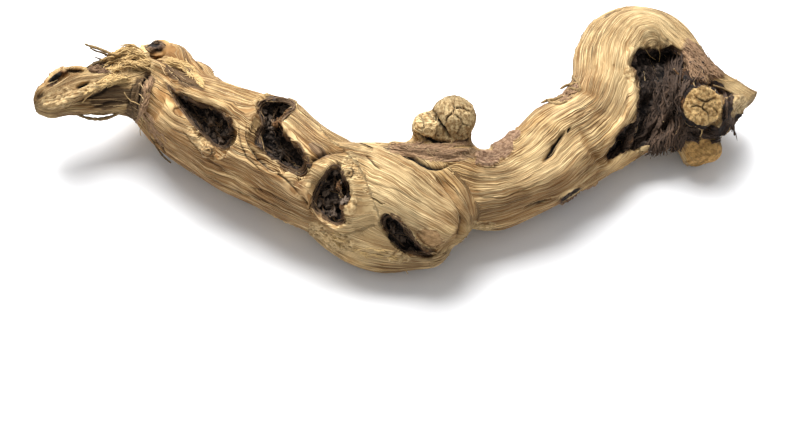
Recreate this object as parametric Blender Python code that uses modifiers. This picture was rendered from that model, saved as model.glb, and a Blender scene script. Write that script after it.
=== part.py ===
"""Grapevine driftwood: one gnarled, hollowed length of old vine wood that lies on a table.

The vine is drawn on squared paper that slopes back like a desk, as it is seen by someone who looks
down at it: x counts squares to the right, y counts squares down the sheet. Heights above the table
and radii are counted in the same squares. One dimension, the overall length, sets their real size.
"""

import math

import bmesh
import bpy
import numpy as np
from mathutils import Matrix, Vector, noise
from mathutils.bvhtree import BVHTree

# Driving dimensions, in metres
OVERALL_LENGTH = 0.400
DRAWN_LENGTH = 727
SQUARE = OVERALL_LENGTH / DRAWN_LENGTH

# The sloping sheet: its slope, and the square that lies over the part's origin
SHEET_SLOPE = math.radians(55)
SHEET_MIDDLE = (400, 224)
ORIGIN_FROM_MIDDLE = (-0.0010, 0.0435)

# Mesh sizes
JOIN_VOXEL = 0.0018
HOLLOW_VOXEL = 0.0015
TRIANGLES = 10800
TUBE_SIDES = 5
PATH_STEP = 3.0
SAWN_LIMBS = ("stub_front", "stub_side", "stub_low")
BALL_SEGMENTS = 24

# Limbs: stations along each centreline as x, y, height and radius
LIMBS = {
    "trunk_left": [
        (150, 85, 54, 32),
        (183, 114, 51, 46),
        (224, 133, 50, 52),
        (270, 155, 52, 53),
        (312, 181, 52, 47),
        (345, 204, 52, 44),
    ],
    "shoulder": [(288, 121, 64, 23), (314, 147, 63, 23), (343, 164, 62, 24), (372, 174, 62, 28)],
    "lobe": [
        (336, 174, 58, 34),
        (370, 182, 62, 41),
        (408, 197, 63, 43),
        (434, 213, 58, 37),
    ],
    "belly": [(318, 200, 43, 26), (346, 225, 35, 31), (384, 239, 32, 33), (418, 243, 34, 27)],
    "trunk_right": [
        (408, 180, 50, 38),
        (450, 186, 47, 40),
        (488, 190, 45, 38),
        (528, 175, 46, 41),
        (560, 148, 50, 43),
        (592, 124, 55, 38),
        (606, 92, 58, 36),
        (612, 62, 58, 38),
        (630, 34, 57, 35),
        (658, 27, 54, 29),
        (686, 45, 50, 22),
        (710, 71, 48, 18),
        (736, 88, 47, 14),
        (764, 103, 46, 10),
    ],
    "lip": [(624, 84, 68, 17), (628, 112, 64, 15), (617, 140, 55, 13), (600, 163, 45, 12)],
    "heel": [(585, 170, 38, 15), (612, 158, 36, 12), (640, 144, 34, 10), (664, 132, 34, 12)],
    "arm": [
        (152, 85, 54, 30),
        (125, 88, 57, 27),
        (100, 90, 61, 23),
        (75, 92, 65, 22),
        (57, 97, 69, 18),
        (50, 101, 70, 16),
    ],
    "spur": [(448, 168, 58, 24), (451, 146, 74, 19), (453, 128, 86, 16)],
    "collar": [(420, 160, 64, 14), (446, 153, 68, 18), (478, 165, 58, 12)],
    "stub_front": [(692, 110, 36, 19), (699, 108, 60, 18), (704, 106, 88, 18)],
    "stub_side": [(712, 114, 40, 20), (734, 115, 52, 19), (748, 112, 56, 18)],
    "stub_low": [(694, 124, 34, 26), (700, 146, 22, 21), (702, 164, 16, 17)],
}

# Balls: swellings and knobs as x, y, height and radius
BALLS = {
    "hump": (159, 67, 60, 34),
    "hump_left": (133, 67, 61, 25),
    "hump_right": (190, 84, 54, 25),
    "lobe_end": (438, 217, 57, 35),
    "belly_end": (428, 243, 35, 27),
    "spur_knob": (452, 118, 91, 22),
    "spur_bud": (427, 127, 84, 17),
    "arm_tip": (51, 101, 70, 17),
    "back_burl": (258, 138, 38, 32),
    "back_knot": (200, 100, 38, 28),
    "back_swell": (505, 172, 34, 29),
    "bend_swell": (611, 54, 42, 33),
    "head": (674, 94, 42, 42),
    "head_low": (694, 118, 36, 33),
    "head_left": (640, 118, 36, 28),
}

# Hollows rotted out of the face that the sheet shows: x, y, radius and depth of the middle
FRONT_HOLLOWS = {
    "long": [(170, 88, 5, 1), (186, 107, 9, 3), (205, 121, 15, 7), (224, 139, 18, 9)],
    "broken": [
        (276, 113, 12, 4),
        (264, 128, 11, 4),
        (269, 148, 17, 9),
        (290, 161, 18, 10),
        (305, 174, 8, 4),
    ],
    "pocket": [(336, 174, 8, 3), (325, 194, 17, 8), (334, 213, 15, 7), (348, 221, 6, 2)],
    "slit": [(388, 220, 8, 3), (398, 235, 11, 4), (412, 250, 8, 3)],
    "knot_hole": [(156, 49, 8, 1), (157, 50, 7, 9)],
    "edge_hole": [(562, 198, 6, 2), (577, 190, 7, 2)],
    "cave": [(657, 62, 13, 2), (656, 88, 21, 13), (650, 114, 19, 12), (635, 140, 12, 5)],
}

# Hollows in the back face: x, height, radius and depth of the middle
BACK_HOLLOWS = {
    "back_long": [(210, 58, 8, 3), (238, 52, 15, 7), (264, 44, 10, 4)],
    "back_pocket": [(352, 62, 10, 4), (370, 54, 14, 8)],
    "back_slit": [(520, 56, 7, 3), (546, 54, 10, 4), (568, 54, 7, 3)],
}

# The saw cut across the head: two squares that it passes through on the sheet
SAW_CUT = ((760, 97), (725, 150))

# Ribs that run along the grain, broad lumps, and small lumps in the rotted hollows, in metres
RIB_HEIGHT = 0.0024
RIB_STRETCH = 14
RIBS_ROUND = 2.4
LUMP_HEIGHT = 0.0035
LUMP_SPACING = 0.034
ROT_HEIGHT = 0.0012
ROT_SPACING = 0.006


def toward_viewer():
    """The direction that stands square on the sloping sheet."""
    return Vector((0, -math.cos(SHEET_SLOPE), math.sin(SHEET_SLOPE)))


def drawn(x, y, height):
    """The point in space that the sheet shows at x, y and that lies height squares above the table."""
    across = (x - SHEET_MIDDLE[0]) * SQUARE
    up_sheet = (SHEET_MIDDLE[1] - y) * SQUARE
    z = height * SQUARE
    back = (up_sheet - z * math.cos(SHEET_SLOPE)) / math.sin(SHEET_SLOPE)
    return Vector((across, back, z))


def limb_path(stations):
    return smooth_path([(*drawn(x, y, height), radius * SQUARE) for x, y, height, radius in stations])


def smooth_path(knots):
    """Points and radii along a Catmull-Rom curve through the knots, in metres."""
    knots = np.array([knots[0], *knots, knots[-1]])
    points = []
    for before, start, end, after in zip(knots, knots[1:], knots[2:], knots[3:]):
        steps = max(2, round(float(np.linalg.norm((end - start)[:3])) / (PATH_STEP * SQUARE)))
        t = (np.arange(steps) / steps)[:, None]
        slope = (end - before) * t
        bend = (2 * before - 5 * start + 4 * end - after) * t**2
        twist = (3 * start - before - 3 * end + after) * t**3
        points.extend(start + (slope + bend + twist) / 2)
    points.append(knots[-2])
    return np.array(points)


def add_ball(bm, centre, radius):
    rings = BALL_SEGMENTS // 2
    ball = bmesh.ops.create_uvsphere(bm, u_segments=BALL_SEGMENTS, v_segments=rings, radius=radius)
    bmesh.ops.translate(bm, verts=ball["verts"], vec=centre)


def add_tube(bm, path, round_ends):
    """A tube of changing radius along the path, added to the mesh."""
    curve = bpy.data.curves.new("path", "CURVE")
    curve.dimensions = "3D"
    curve.bevel_depth = 1.0
    curve.bevel_resolution = TUBE_SIDES
    curve.use_fill_caps = True
    spline = curve.splines.new("POLY")
    spline.points.add(len(path) - 1)
    for point, (x, y, z, radius) in zip(spline.points, path):
        point.co = (x, y, z, 1)
        point.radius = radius
    guide = bpy.data.objects.new("path", curve)
    bpy.context.scene.collection.objects.link(guide)
    graph = bpy.context.evaluated_depsgraph_get()
    mesh = bpy.data.meshes.new_from_object(guide.evaluated_get(graph))
    bm.from_mesh(mesh)
    bpy.data.objects.remove(guide)
    bpy.data.meshes.remove(mesh)
    if round_ends:
        for end in (path[0], path[-1]):
            add_ball(bm, Vector(end[:3]), end[3])


def as_object(name, bm, collection):
    mesh = bpy.data.meshes.new(name)
    bm.to_mesh(mesh)
    bm.free()
    made = bpy.data.objects.new(name, mesh)
    collection.objects.link(made)
    return made


def apply_modifiers(made):
    graph = bpy.context.evaluated_depsgraph_get()
    mesh = bpy.data.meshes.new_from_object(made.evaluated_get(graph))
    made.modifiers.clear()
    made.data = mesh


def fuse(made, voxel, smoothing):
    """Joins every overlapping tube and ball of the mesh into one skin, and eases its creases."""
    remesh = made.modifiers.new("fuse", "REMESH")
    remesh.mode = "VOXEL"
    remesh.voxel_size = voxel
    ease = made.modifiers.new("ease", "SMOOTH")
    ease.factor = 0.5
    ease.iterations = smoothing
    apply_modifiers(made)


def coordinates(made):
    found = np.empty(len(made.data.vertices) * 3)
    made.data.vertices.foreach_get("co", found)
    return found.reshape(-1, 3)


def move_along_normals(made, heights):
    normals = np.empty(len(made.data.vertices) * 3)
    made.data.vertices.foreach_get("normal", normals)
    moved = coordinates(made) + normals.reshape(-1, 3) * heights[:, None]
    made.data.vertices.foreach_set("co", moved.ravel())
    made.data.update()


def noise_at(points, spacing, shift=0.0):
    """Smooth noise from about -1 to 1 at each point, with lumps about one spacing apart."""
    return np.array([noise.noise(p) for p in (points / spacing + shift).tolist()])


def grain_of(points, paths):
    """Arc length along the nearest limb, and the angle round it, for each point."""
    along, round_limb = np.zeros(len(points)), np.zeros(len(points))
    nearest = np.full(len(points), np.inf)
    for path in paths:
        centres = path[:, :3]
        tangents = np.gradient(centres, axis=0)
        tangents /= np.linalg.norm(tangents, axis=1)[:, None]
        lengths = np.concatenate([[0], np.cumsum(np.linalg.norm(np.diff(centres, axis=0), axis=1))])
        sideways = np.cross(tangents, (0.0, 0.0, 1.0))
        sideways /= np.linalg.norm(sideways, axis=1)[:, None]
        upward = np.cross(sideways, tangents)
        apart = np.linalg.norm(points[:, None] - centres, axis=2) / path[:, 3]
        index = apart.argmin(axis=1)
        share = apart[np.arange(len(points)), index]
        better = share < nearest
        offset = points - centres[index]
        length = lengths[index] + (offset * tangents[index]).sum(axis=1)
        angle = np.arctan2((offset * upward[index]).sum(axis=1), (offset * sideways[index]).sum(axis=1))
        nearest[better] = share[better]
        along[better] = length[better]
        round_limb[better] = angle[better]
    return along, round_limb


def hollow_paths(body):
    """Each hollow's centreline, sunk into the body from the face that it opens in."""
    graph = bpy.context.evaluated_depsgraph_get()
    skin = BVHTree.FromObject(body, graph)
    far = OVERALL_LENGTH
    paths = []
    for stations in FRONT_HOLLOWS.values():
        start = [drawn(x, y, 0) + toward_viewer() * far for x, y, *_ in stations]
        paths.append(sunk_path(skin, start, -toward_viewer(), stations))
    for stations in BACK_HOLLOWS.values():
        start = [
            Vector(((x - SHEET_MIDDLE[0]) * SQUARE, far, height * SQUARE))
            for x, height, *_ in stations
        ]
        paths.append(sunk_path(skin, start, Vector((0, -1, 0)), stations))
    return paths


def sunk_path(skin, starts, direction, stations):
    """A path under the skin, as deep below the spot that each start faces as its station says."""
    path = []
    for start, (_, _, radius, depth) in zip(starts, stations):
        spot, normal, _, _ = skin.ray_cast(start, direction)
        path.append((*(spot - normal * depth * SQUARE), radius * SQUARE))
    return smooth_path(path)


def make_body(collection):
    bm = bmesh.new()
    for name, stations in LIMBS.items():
        add_tube(bm, limb_path(stations), round_ends=name not in SAWN_LIMBS)
    for x, y, height, radius in BALLS.values():
        add_ball(bm, drawn(x, y, height), radius * SQUARE)
    body = as_object("driftwood", bm, collection)
    fuse(body, JOIN_VOXEL, smoothing=4)
    return body


def carve_hollows(body, cutters):
    """Cuts all the hollows at once, with walls that are lumpy like rotted wood."""
    bm = bmesh.new()
    for path in hollow_paths(body):
        add_tube(bm, path, round_ends=True)
    cutter = as_object("hollows", bm, cutters)
    fuse(cutter, HOLLOW_VOXEL, smoothing=3)
    move_along_normals(cutter, ROT_HEIGHT * noise_at(coordinates(cutter), ROT_SPACING))
    cutter.hide_render = True
    cutter.display_type = "WIRE"
    cut = body.modifiers.new("hollows", "BOOLEAN")
    cut.operation = "DIFFERENCE"
    cut.object = cutter
    apply_modifiers(body)


def raise_grain(body):
    """Lifts ribs along the grain and broad lumps across the whole skin."""
    points = coordinates(body)
    along, round_limb = grain_of(points, [limb_path(stations) for stations in LIMBS.values()])
    on_limb = np.stack(
        [along * RIB_STRETCH, np.cos(round_limb) * RIBS_ROUND, np.sin(round_limb) * RIBS_ROUND], axis=1
    )
    ribs = noise_at(on_limb, 1.0, shift=3.7)
    lumps = noise_at(points, LUMP_SPACING, shift=11.3)
    move_along_normals(body, RIB_HEIGHT * ribs + LUMP_HEIGHT * lumps)


def slice_off(body, spot, outward):
    """Cuts away what lies outward of the plane through the spot, and closes the cut with a flat face."""
    bm = bmesh.new()
    bm.from_mesh(body.data)
    everything = [*bm.verts, *bm.edges, *bm.faces]
    cut = bmesh.ops.bisect_plane(bm, geom=everything, plane_co=spot, plane_no=outward, clear_outer=True)
    rim = [part for part in cut["geom_cut"] if isinstance(part, bmesh.types.BMEdge)]
    bmesh.ops.holes_fill(bm, edges=rim)
    bmesh.ops.triangulate(bm, faces=bm.faces)
    bm.to_mesh(body.data)
    bm.free()


def saw_head(body):
    """The vine was sawn across its head, square to the sheet."""
    (x1, y1), (x2, y2) = SAW_CUT
    along_cut = drawn(x2, y2, 0) - drawn(x1, y1, 0)
    slice_off(body, drawn(x1, y1, 0), toward_viewer().cross(along_cut).normalized())


def level_underside(body):
    """Wears the lowest points flat, where the wood rests on the table."""
    slice_off(body, Vector((0, 0, 0)), Vector((0, 0, -1)))


def move_to_origin(body):
    """Puts the middle of the footprint over the origin."""
    body.data.transform(Matrix.Translation((-ORIGIN_FROM_MIDDLE[0], -ORIGIN_FROM_MIDDLE[1], 0)))


def thin_out(body):
    """Leaves about the stated number of triangles, most of them where the skin bends most."""
    count = sum(len(face.vertices) - 2 for face in body.data.polygons)
    thin = body.modifiers.new("thin_out", "DECIMATE")
    thin.ratio = TRIANGLES / count
    apply_modifiers(body)


def wood():
    material = bpy.data.materials.new("weathered_vine")
    material.use_nodes = True
    shader = material.node_tree.nodes["Principled BSDF"]
    shader.inputs["Base Color"].default_value = (0.53, 0.38, 0.21, 1)
    shader.inputs["Roughness"].default_value = 0.8
    shader.inputs["Metallic"].default_value = 0.0
    return material


def main():
    for old in list(bpy.data.objects):
        bpy.data.objects.remove(old)
    parts = bpy.data.collections.new("grapevine_driftwood")
    cutters = bpy.data.collections.new("cutters")
    for collection in (parts, cutters):
        bpy.context.scene.collection.children.link(collection)
    body = make_body(parts)
    raise_grain(body)
    fuse(body, JOIN_VOXEL, smoothing=1)
    carve_hollows(body, cutters)
    saw_head(body)
    thin_out(body)
    level_underside(body)
    move_to_origin(body)
    body.data.materials.append(wood())
    body.data.shade_smooth()
    found = coordinates(body)
    print("low", found.min(axis=0), "high", found.max(axis=0), "triangles", len(body.data.polygons))


main()
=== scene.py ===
import math

import bmesh
import bpy
import numpy as np
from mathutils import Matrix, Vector, kdtree, noise
from mathutils.bvhtree import BVHTree


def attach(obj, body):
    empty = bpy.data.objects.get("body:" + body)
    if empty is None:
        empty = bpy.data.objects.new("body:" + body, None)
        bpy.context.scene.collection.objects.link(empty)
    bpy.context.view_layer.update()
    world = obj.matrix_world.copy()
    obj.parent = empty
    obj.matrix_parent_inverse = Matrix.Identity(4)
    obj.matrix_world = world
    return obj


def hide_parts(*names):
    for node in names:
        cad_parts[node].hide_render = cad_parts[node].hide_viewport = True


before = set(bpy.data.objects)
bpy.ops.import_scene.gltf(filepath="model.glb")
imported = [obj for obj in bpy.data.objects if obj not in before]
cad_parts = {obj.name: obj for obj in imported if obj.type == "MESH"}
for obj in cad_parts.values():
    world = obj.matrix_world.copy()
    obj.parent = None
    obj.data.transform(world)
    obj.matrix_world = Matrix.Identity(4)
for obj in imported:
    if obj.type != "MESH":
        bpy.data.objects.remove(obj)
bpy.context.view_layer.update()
draw = np.random.default_rng(41)

# The vine is laid out in squares, as seen by someone who looks down at it: x to the right, y downwards
layout = {
    "length": 0.400,      # metres from the arm's tip to the saw cut
    "squares": 727,       # the same length in squares
    "slope": 55,          # degrees that the view looks down
    "middle": (400, 224),
    "origin": (-0.0010, 0.0435),
    "across": 800,        # squares across the whole view
    "lens": 100,
    "sensor": 36,
}
square = layout["length"] / layout["squares"]
slope = math.radians(layout["slope"])
focal = layout["across"] * layout["lens"] / layout["sensor"]
viewBack = np.array((0, -math.cos(slope), math.sin(slope)))
viewUp = np.array((0, math.sin(slope), math.cos(slope)))
lookAt = np.array((-layout["origin"][0], -layout["origin"][1], 0))
eye = lookAt + viewBack * focal * square

# Limbs that the grain runs along: stations as x, y, height and radius in squares
grainLimbs = {
    "vine": [
        (50, 101, 70, 16), (75, 92, 65, 22), (100, 90, 61, 23), (125, 88, 57, 27), (152, 85, 54, 32),
        (183, 114, 51, 46), (224, 133, 50, 52), (270, 155, 52, 53), (312, 181, 52, 47), (350, 200, 50, 45),
        (384, 200, 49, 42), (416, 188, 50, 40), (450, 186, 47, 40), (488, 190, 45, 38), (528, 175, 46, 41),
        (560, 148, 50, 43), (592, 124, 55, 38), (606, 92, 58, 36), (612, 62, 58, 38), (630, 34, 57, 35),
        (658, 27, 54, 29), (686, 45, 50, 22), (710, 71, 48, 18), (736, 88, 47, 14), (764, 103, 46, 10),
    ],
    "lobe": [
        (288, 121, 64, 23), (314, 147, 63, 23), (343, 164, 62, 28), (372, 176, 62, 37), (405, 195, 62, 43),
        (438, 216, 57, 36),
    ],
    "belly": [(318, 200, 43, 26), (346, 225, 35, 31), (384, 239, 32, 33), (424, 243, 34, 27)],
    "spur": [(448, 168, 58, 24), (451, 146, 74, 19), (453, 128, 86, 16), (453, 112, 98, 15)],
    "head": [(668, 60, 50, 20), (672, 95, 46, 38), (682, 128, 36, 34), (698, 146, 25, 20)],
    "stubFront": [(692, 110, 36, 19), (699, 108, 60, 18), (704, 106, 88, 18)],
    "stubSide": [(712, 114, 40, 20), (734, 115, 52, 19), (748, 112, 56, 18)],
    "stubLow": [(694, 124, 34, 26), (700, 146, 22, 21), (702, 164, 16, 17)],
}

# Hollows: the outline of each mouth, how deep it goes, and the half sizes that the grain flows round
hollows = {
    "long": {
        "mouth": [(167, 84), (176, 91), (190, 97), (206, 104), (222, 109), (232, 119), (235, 137), (228, 149),
                  (216, 147), (205, 137), (192, 124), (178, 105)],
        "depth": 26, "grain": (200, 118, 36, 11),
    },
    "broken": {
        "mouth": [(258, 103), (268, 98), (282, 97), (293, 101), (295, 108), (287, 114), (281, 122), (283, 132),
                  (296, 142), (306, 152), (309, 165), (303, 175), (291, 172), (277, 163), (264, 154), (255, 145),
                  (257, 133), (261, 123), (257, 113)],
        "depth": 28, "grain": (275, 138, 34, 10),
    },
    "pocket": {
        "mouth": [(330, 167), (340, 166), (345, 176), (350, 186), (352, 197), (347, 206), (343, 214), (346, 222),
                  (337, 226), (325, 220), (314, 210), (312, 200), (318, 185)],
        "depth": 24, "grain": (331, 197, 30, 13),
    },
    "slit": {
        "mouth": [(381, 218), (387, 213), (395, 215), (403, 222), (411, 233), (418, 243), (426, 250), (436, 253),
                  (424, 256), (410, 254), (400, 249), (391, 240), (383, 229)],
        "depth": 20, "grain": (403, 235, 26, 10),
    },
    "knotHole": {
        "mouth": [(145, 46), (150, 42), (158, 41), (164, 44), (166, 48), (160, 52), (151, 52)],
        "depth": 7, "grain": (156, 46, 12, 9),
    },
    "armHole": {
        "mouth": [(47, 86), (49, 80), (53, 75), (59, 71), (67, 70), (68, 73), (62, 76), (57, 81), (52, 87)],
        "depth": 9, "grain": (57, 78, 14, 7),
    },
    "edgeHole": {
        "mouth": [(556, 202), (564, 197), (573, 191), (580, 187), (583, 191), (572, 198), (562, 204)],
        "depth": 9, "grain": (568, 196, 12, 5),
    },
    "cave": {
        "mouth": [(638, 49), (648, 47), (660, 50), (672, 46), (684, 52), (688, 64), (683, 76), (682, 92),
                  (684, 112), (680, 126), (668, 136), (652, 143), (636, 148), (622, 154), (608, 162), (604, 158),
                  (613, 143), (624, 127), (633, 120), (638, 108), (639, 95), (637, 82), (633, 73), (629, 65),
                  (633, 56)],
        "depth": 30, "grain": (655, 95, 50, 12), "ragged": 0.5,
    },
}


def sheetPoint(x, y, height):
    # The point that lies at square x, y of the sheet, height squares above the table
    across = (x - layout["middle"][0]) * square
    upSheet = (layout["middle"][1] - y) * square
    z = height * square
    back = (upSheet - z * math.cos(slope)) / math.sin(slope)
    return np.array((across - layout["origin"][0], back - layout["origin"][1], z))


def squaresOf(points):
    # Where each point is seen, as x and y in squares, and how far it is from the eye
    seen = points - eye
    depth = -(seen @ viewBack)
    x = layout["middle"][0] + seen[:, 0] / depth * focal
    y = layout["middle"][1] - (seen @ viewUp) / depth * focal
    return np.stack([x, y], axis=1), depth


def sightLine(x, y):
    line = viewUp * (layout["middle"][1] - y) / focal - viewBack
    line[0] += (x - layout["middle"][0]) / focal
    return line


def smoothPath(knots, step=3.0 * square):
    # Points and radii along a smooth curve through the knots
    knots = np.array([knots[0], *knots, knots[-1]], dtype=float)
    points = []
    for before, start, end, after in zip(knots, knots[1:], knots[2:], knots[3:]):
        steps = max(2, round(float(np.linalg.norm((end - start)[:3])) / step))
        t = (np.arange(steps) / steps)[:, None]
        slopePart = (end - before) * t
        bendPart = (2 * before - 5 * start + 4 * end - after) * t**2
        twistPart = (3 * start - before - 3 * end + after) * t**3
        points.extend(start + (slopePart + bendPart + twistPart) / 2)
    points.append(knots[-2])
    return np.array(points)


def limbPath(stations):
    return smoothPath([(*sheetPoint(x, y, height), radius * square) for x, y, height, radius in stations])


def noiseAt(points, scale=1.0, shift=0.0):
    return np.array([noise.noise(p) for p in (points * scale + shift).tolist()])


def smoothStep(low, high, values):
    t = np.clip((values - low) / (high - low), 0, 1)
    return t * t * (3 - 2 * t)


def screenColour(red, green, blue):
    # A colour as a screen shows it, turned into the light that it stands for
    return tuple(((c / 255 + 0.055) / 1.055) ** 2.4 for c in (red, green, blue)) + (1.0,)


# Mesh helpers

def newPiece(name, mesh):
    piece = bpy.data.objects.new(name, mesh)
    bpy.context.scene.collection.objects.link(piece)
    return piece


def coordinates(mesh):
    found = np.empty(len(mesh.vertices) * 3)
    mesh.vertices.foreach_get("co", found)
    return found.reshape(-1, 3)


def normalsOf(mesh):
    found = np.empty(len(mesh.vertices) * 3)
    mesh.vertices.foreach_get("normal", found)
    return found.reshape(-1, 3)


def place(mesh, points):
    mesh.vertices.foreach_set("co", points.ravel())
    mesh.update()


def edgesOf(mesh):
    found = np.empty(len(mesh.edges) * 2, dtype=np.int64)
    mesh.edges.foreach_get("vertices", found)
    return found.reshape(-1, 2)


def spread(values, edges, rounds):
    # Averages each value with its neighbours' values, over and over
    count = len(values)
    ends = np.concatenate([edges[:, 0], edges[:, 1]])
    others = np.concatenate([edges[:, 1], edges[:, 0]])
    degree = np.bincount(ends, minlength=count)
    table = values.reshape(count, -1)
    for _ in range(rounds):
        sums = [np.bincount(ends, weights=column[others], minlength=count) for column in table.T]
        table = (table + np.stack(sums, axis=1)) / (degree + 1)[:, None]
    return table.reshape(values.shape)


def applyModifiers(piece):
    graph = bpy.context.evaluated_depsgraph_get()
    mesh = bpy.data.meshes.new_from_object(piece.evaluated_get(graph))
    piece.modifiers.clear()
    piece.data = mesh
    return mesh


def remesh(piece, voxel, easing):
    fuse = piece.modifiers.new("fuse", "REMESH")
    fuse.mode = "VOXEL"
    fuse.voxel_size = voxel
    ease = piece.modifiers.new("ease", "SMOOTH")
    ease.factor = 0.5
    ease.iterations = easing
    return applyModifiers(piece)


def store(mesh, name, values):
    kind = "FLOAT_VECTOR" if values.ndim == 2 else "FLOAT"
    attribute = mesh.attributes.new(name, kind, "POINT")
    attribute.data.foreach_set("vector" if values.ndim == 2 else "value", values.astype(np.float32).ravel())


def ringsOf(path, sides, flatness=1.0, facing=None):
    # Rings of points round a path of points and radii, flattened across the facing directions
    centres, radii = path[:, :3], path[:, 3]
    tangents = np.gradient(centres, axis=0)
    tangents /= np.linalg.norm(tangents, axis=1)[:, None] + 1e-12
    facing = np.tile(viewBack, (len(path), 1)) if facing is None else facing
    sideways = np.cross(tangents, facing)
    sideways /= np.linalg.norm(sideways, axis=1)[:, None] + 1e-9
    outward = np.cross(sideways, tangents)
    turn = np.arange(sides) / sides * 2 * math.pi
    ring = sideways[:, None] * np.cos(turn)[None, :, None]
    ring = ring + outward[:, None] * np.sin(turn)[None, :, None] * flatness
    return centres[:, None] + ring * radii[:, None, None]


def tubeFaces(start, rings, sides):
    faces = []
    for ring in range(rings - 1):
        for side in range(sides):
            one = start + ring * sides + side
            two = start + ring * sides + (side + 1) % sides
            faces.append((one, two, two + sides, one + sides))
    faces.append(tuple(start + side for side in reversed(range(sides))))
    faces.append(tuple(start + (rings - 1) * sides + side for side in range(sides)))
    return faces


def tubesMesh(name, paths, sides, flatness=1.0, facings=None, tones=None):
    # One mesh of many closed tubes, each with a tone of its own and its place along it
    points, faces, tone, along = [], [], [], []
    count = 0
    for index, path in enumerate(paths):
        facing = None if facings is None else facings[index]
        rings = ringsOf(path, sides, flatness, facing)
        faces += tubeFaces(count, len(path), sides)
        points.append(rings.reshape(-1, 3))
        count += len(path) * sides
        tone.append(np.full(len(path) * sides, 0.5 if tones is None else tones[index]))
        along.append(np.repeat(np.linspace(0, 1, len(path)), sides))
    mesh = bpy.data.meshes.new(name)
    mesh.from_pydata(np.concatenate(points).tolist(), [], faces)
    mesh.validate()
    store(mesh, "tone", np.concatenate(tone))
    store(mesh, "along", np.concatenate(along))
    mesh.shade_smooth()
    return mesh


def weldedCopy(mesh):
    # A closed copy of the solid's mesh, without its materials
    bm = bmesh.new()
    bm.from_mesh(mesh)
    bmesh.ops.remove_doubles(bm, verts=bm.verts, dist=1e-6)
    copy = bpy.data.meshes.new("plain")
    bm.to_mesh(copy)
    bm.free()
    return copy


# The plain skin of the vine, which everything is measured from
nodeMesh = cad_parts["driftwood"].data
plainBody = newPiece("plainBody", weldedCopy(nodeMesh))
plainSkin = BVHTree.FromObject(plainBody, bpy.context.evaluated_depsgraph_get())


def castOn(skin, x, y):
    line = sightLine(x, y)
    spot, normal, _, _ = skin.ray_cast(Vector(eye), Vector(line).normalized())
    return (None, None) if spot is None else (np.array(spot), np.array(normal))


def laidPath(skin, squares, lift, evenings=2, strict=False):
    # A path that follows the skin under the given squares, lifted off it toward the eye
    depths = []
    for x, y in squares:
        spot, _ = castOn(skin, x, y)
        depths.append(np.nan if spot is None else -((spot - eye) @ viewBack))
    depths = np.array(depths)
    good = np.flatnonzero(~np.isnan(depths))
    if len(good) == 0 or (strict and len(good) < len(depths)):
        return None
    depths = np.interp(np.arange(len(depths)), good, depths[good])
    for _ in range(evenings):
        padded = np.concatenate([depths[:1], depths, depths[-1:]])
        depths = (padded[:-2] + 2 * padded[1:-1] + padded[2:]) / 4
    depths = depths - np.asarray(lift)
    return np.array([eye + sightLine(x, y) * depth for (x, y), depth in zip(squares, depths)])


def keptNear(skin, points, reach):
    # Pulls points that lie farther than reach from the skin back to it
    kept = points.copy()
    for index, point in enumerate(points):
        spot, normal, _, apart = skin.find_nearest(Vector(point))
        if apart > reach:
            kept[index] = np.array(spot) + (point - np.array(spot)) / apart * reach * 0.5
    return kept


def grainOf(points, paths, batch=40000):
    parts = [grainOfFew(points[start:start + batch], paths) for start in range(0, len(points), batch)]
    return {key: np.concatenate([part[key] for part in parts]) for key in parts[0]}


def grainOfFew(points, paths):
    # For each point: its nearest limb, the arc length along it, the angle round it and the limb's radius
    nearest = np.full(len(points), np.inf)
    second = np.full(len(points), np.inf)
    found = {key: np.zeros(len(points)) for key in ("limb", "along", "angle", "radius")}
    direction = np.zeros((len(points), 3))
    for number, path in enumerate(paths):
        centres = path[:, :3]
        tangents = np.gradient(centres, axis=0)
        tangents /= np.linalg.norm(tangents, axis=1)[:, None]
        steps = np.linalg.norm(np.diff(centres, axis=0), axis=1)
        lengths = np.concatenate([[0], np.cumsum(steps)])
        sideways = np.cross(tangents, (0.0, 0.0, 1.0))
        sideways /= np.linalg.norm(sideways, axis=1)[:, None]
        upward = np.cross(sideways, tangents)
        squared = (points**2).sum(1)[:, None] - 2 * points @ centres.T + (centres**2).sum(1)[None]
        apart = np.sqrt(np.maximum(squared, 0)) / path[:, 3]
        index = apart.argmin(axis=1)
        share = apart[np.arange(len(points)), index]
        better = share < nearest
        second = np.where(better, nearest, np.minimum(second, share))
        offset = points - centres[index]
        length = lengths[index] + (offset * tangents[index]).sum(axis=1)
        angle = np.arctan2((offset * upward[index]).sum(axis=1), (offset * sideways[index]).sum(axis=1))
        nearest[better] = share[better]
        found["limb"][better] = number
        found["along"][better] = length[better]
        found["angle"][better] = angle[better]
        found["radius"][better] = path[index, 3][better]
        direction[better] = tangents[index][better]
    found.update(share=nearest, second=second, direction=direction)
    return found


def insideOf(squares, outline):
    # How many squares each spot lies inside the outline, negative outside it
    corners = np.array(outline, dtype=float)
    ends = np.roll(corners, -1, axis=0)
    inside = np.zeros(len(squares), dtype=bool)
    nearest = np.full(len(squares), np.inf)
    x, y = squares[:, 0], squares[:, 1]
    for (x1, y1), (x2, y2) in zip(corners, ends):
        crosses = (y1 > y) != (y2 > y)
        with np.errstate(divide="ignore", invalid="ignore"):
            inside ^= crosses & (x < (x2 - x1) * (y - y1) / (y2 - y1) + x1)
        side = np.array((x2 - x1, y2 - y1))
        t = np.clip(((x - x1) * side[0] + (y - y1) * side[1]) / (side @ side), 0, 1)
        nearest = np.minimum(nearest, np.hypot(x - x1 - t * side[0], y - y1 - t * side[1]))
    return np.where(inside, nearest, -nearest)


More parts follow.
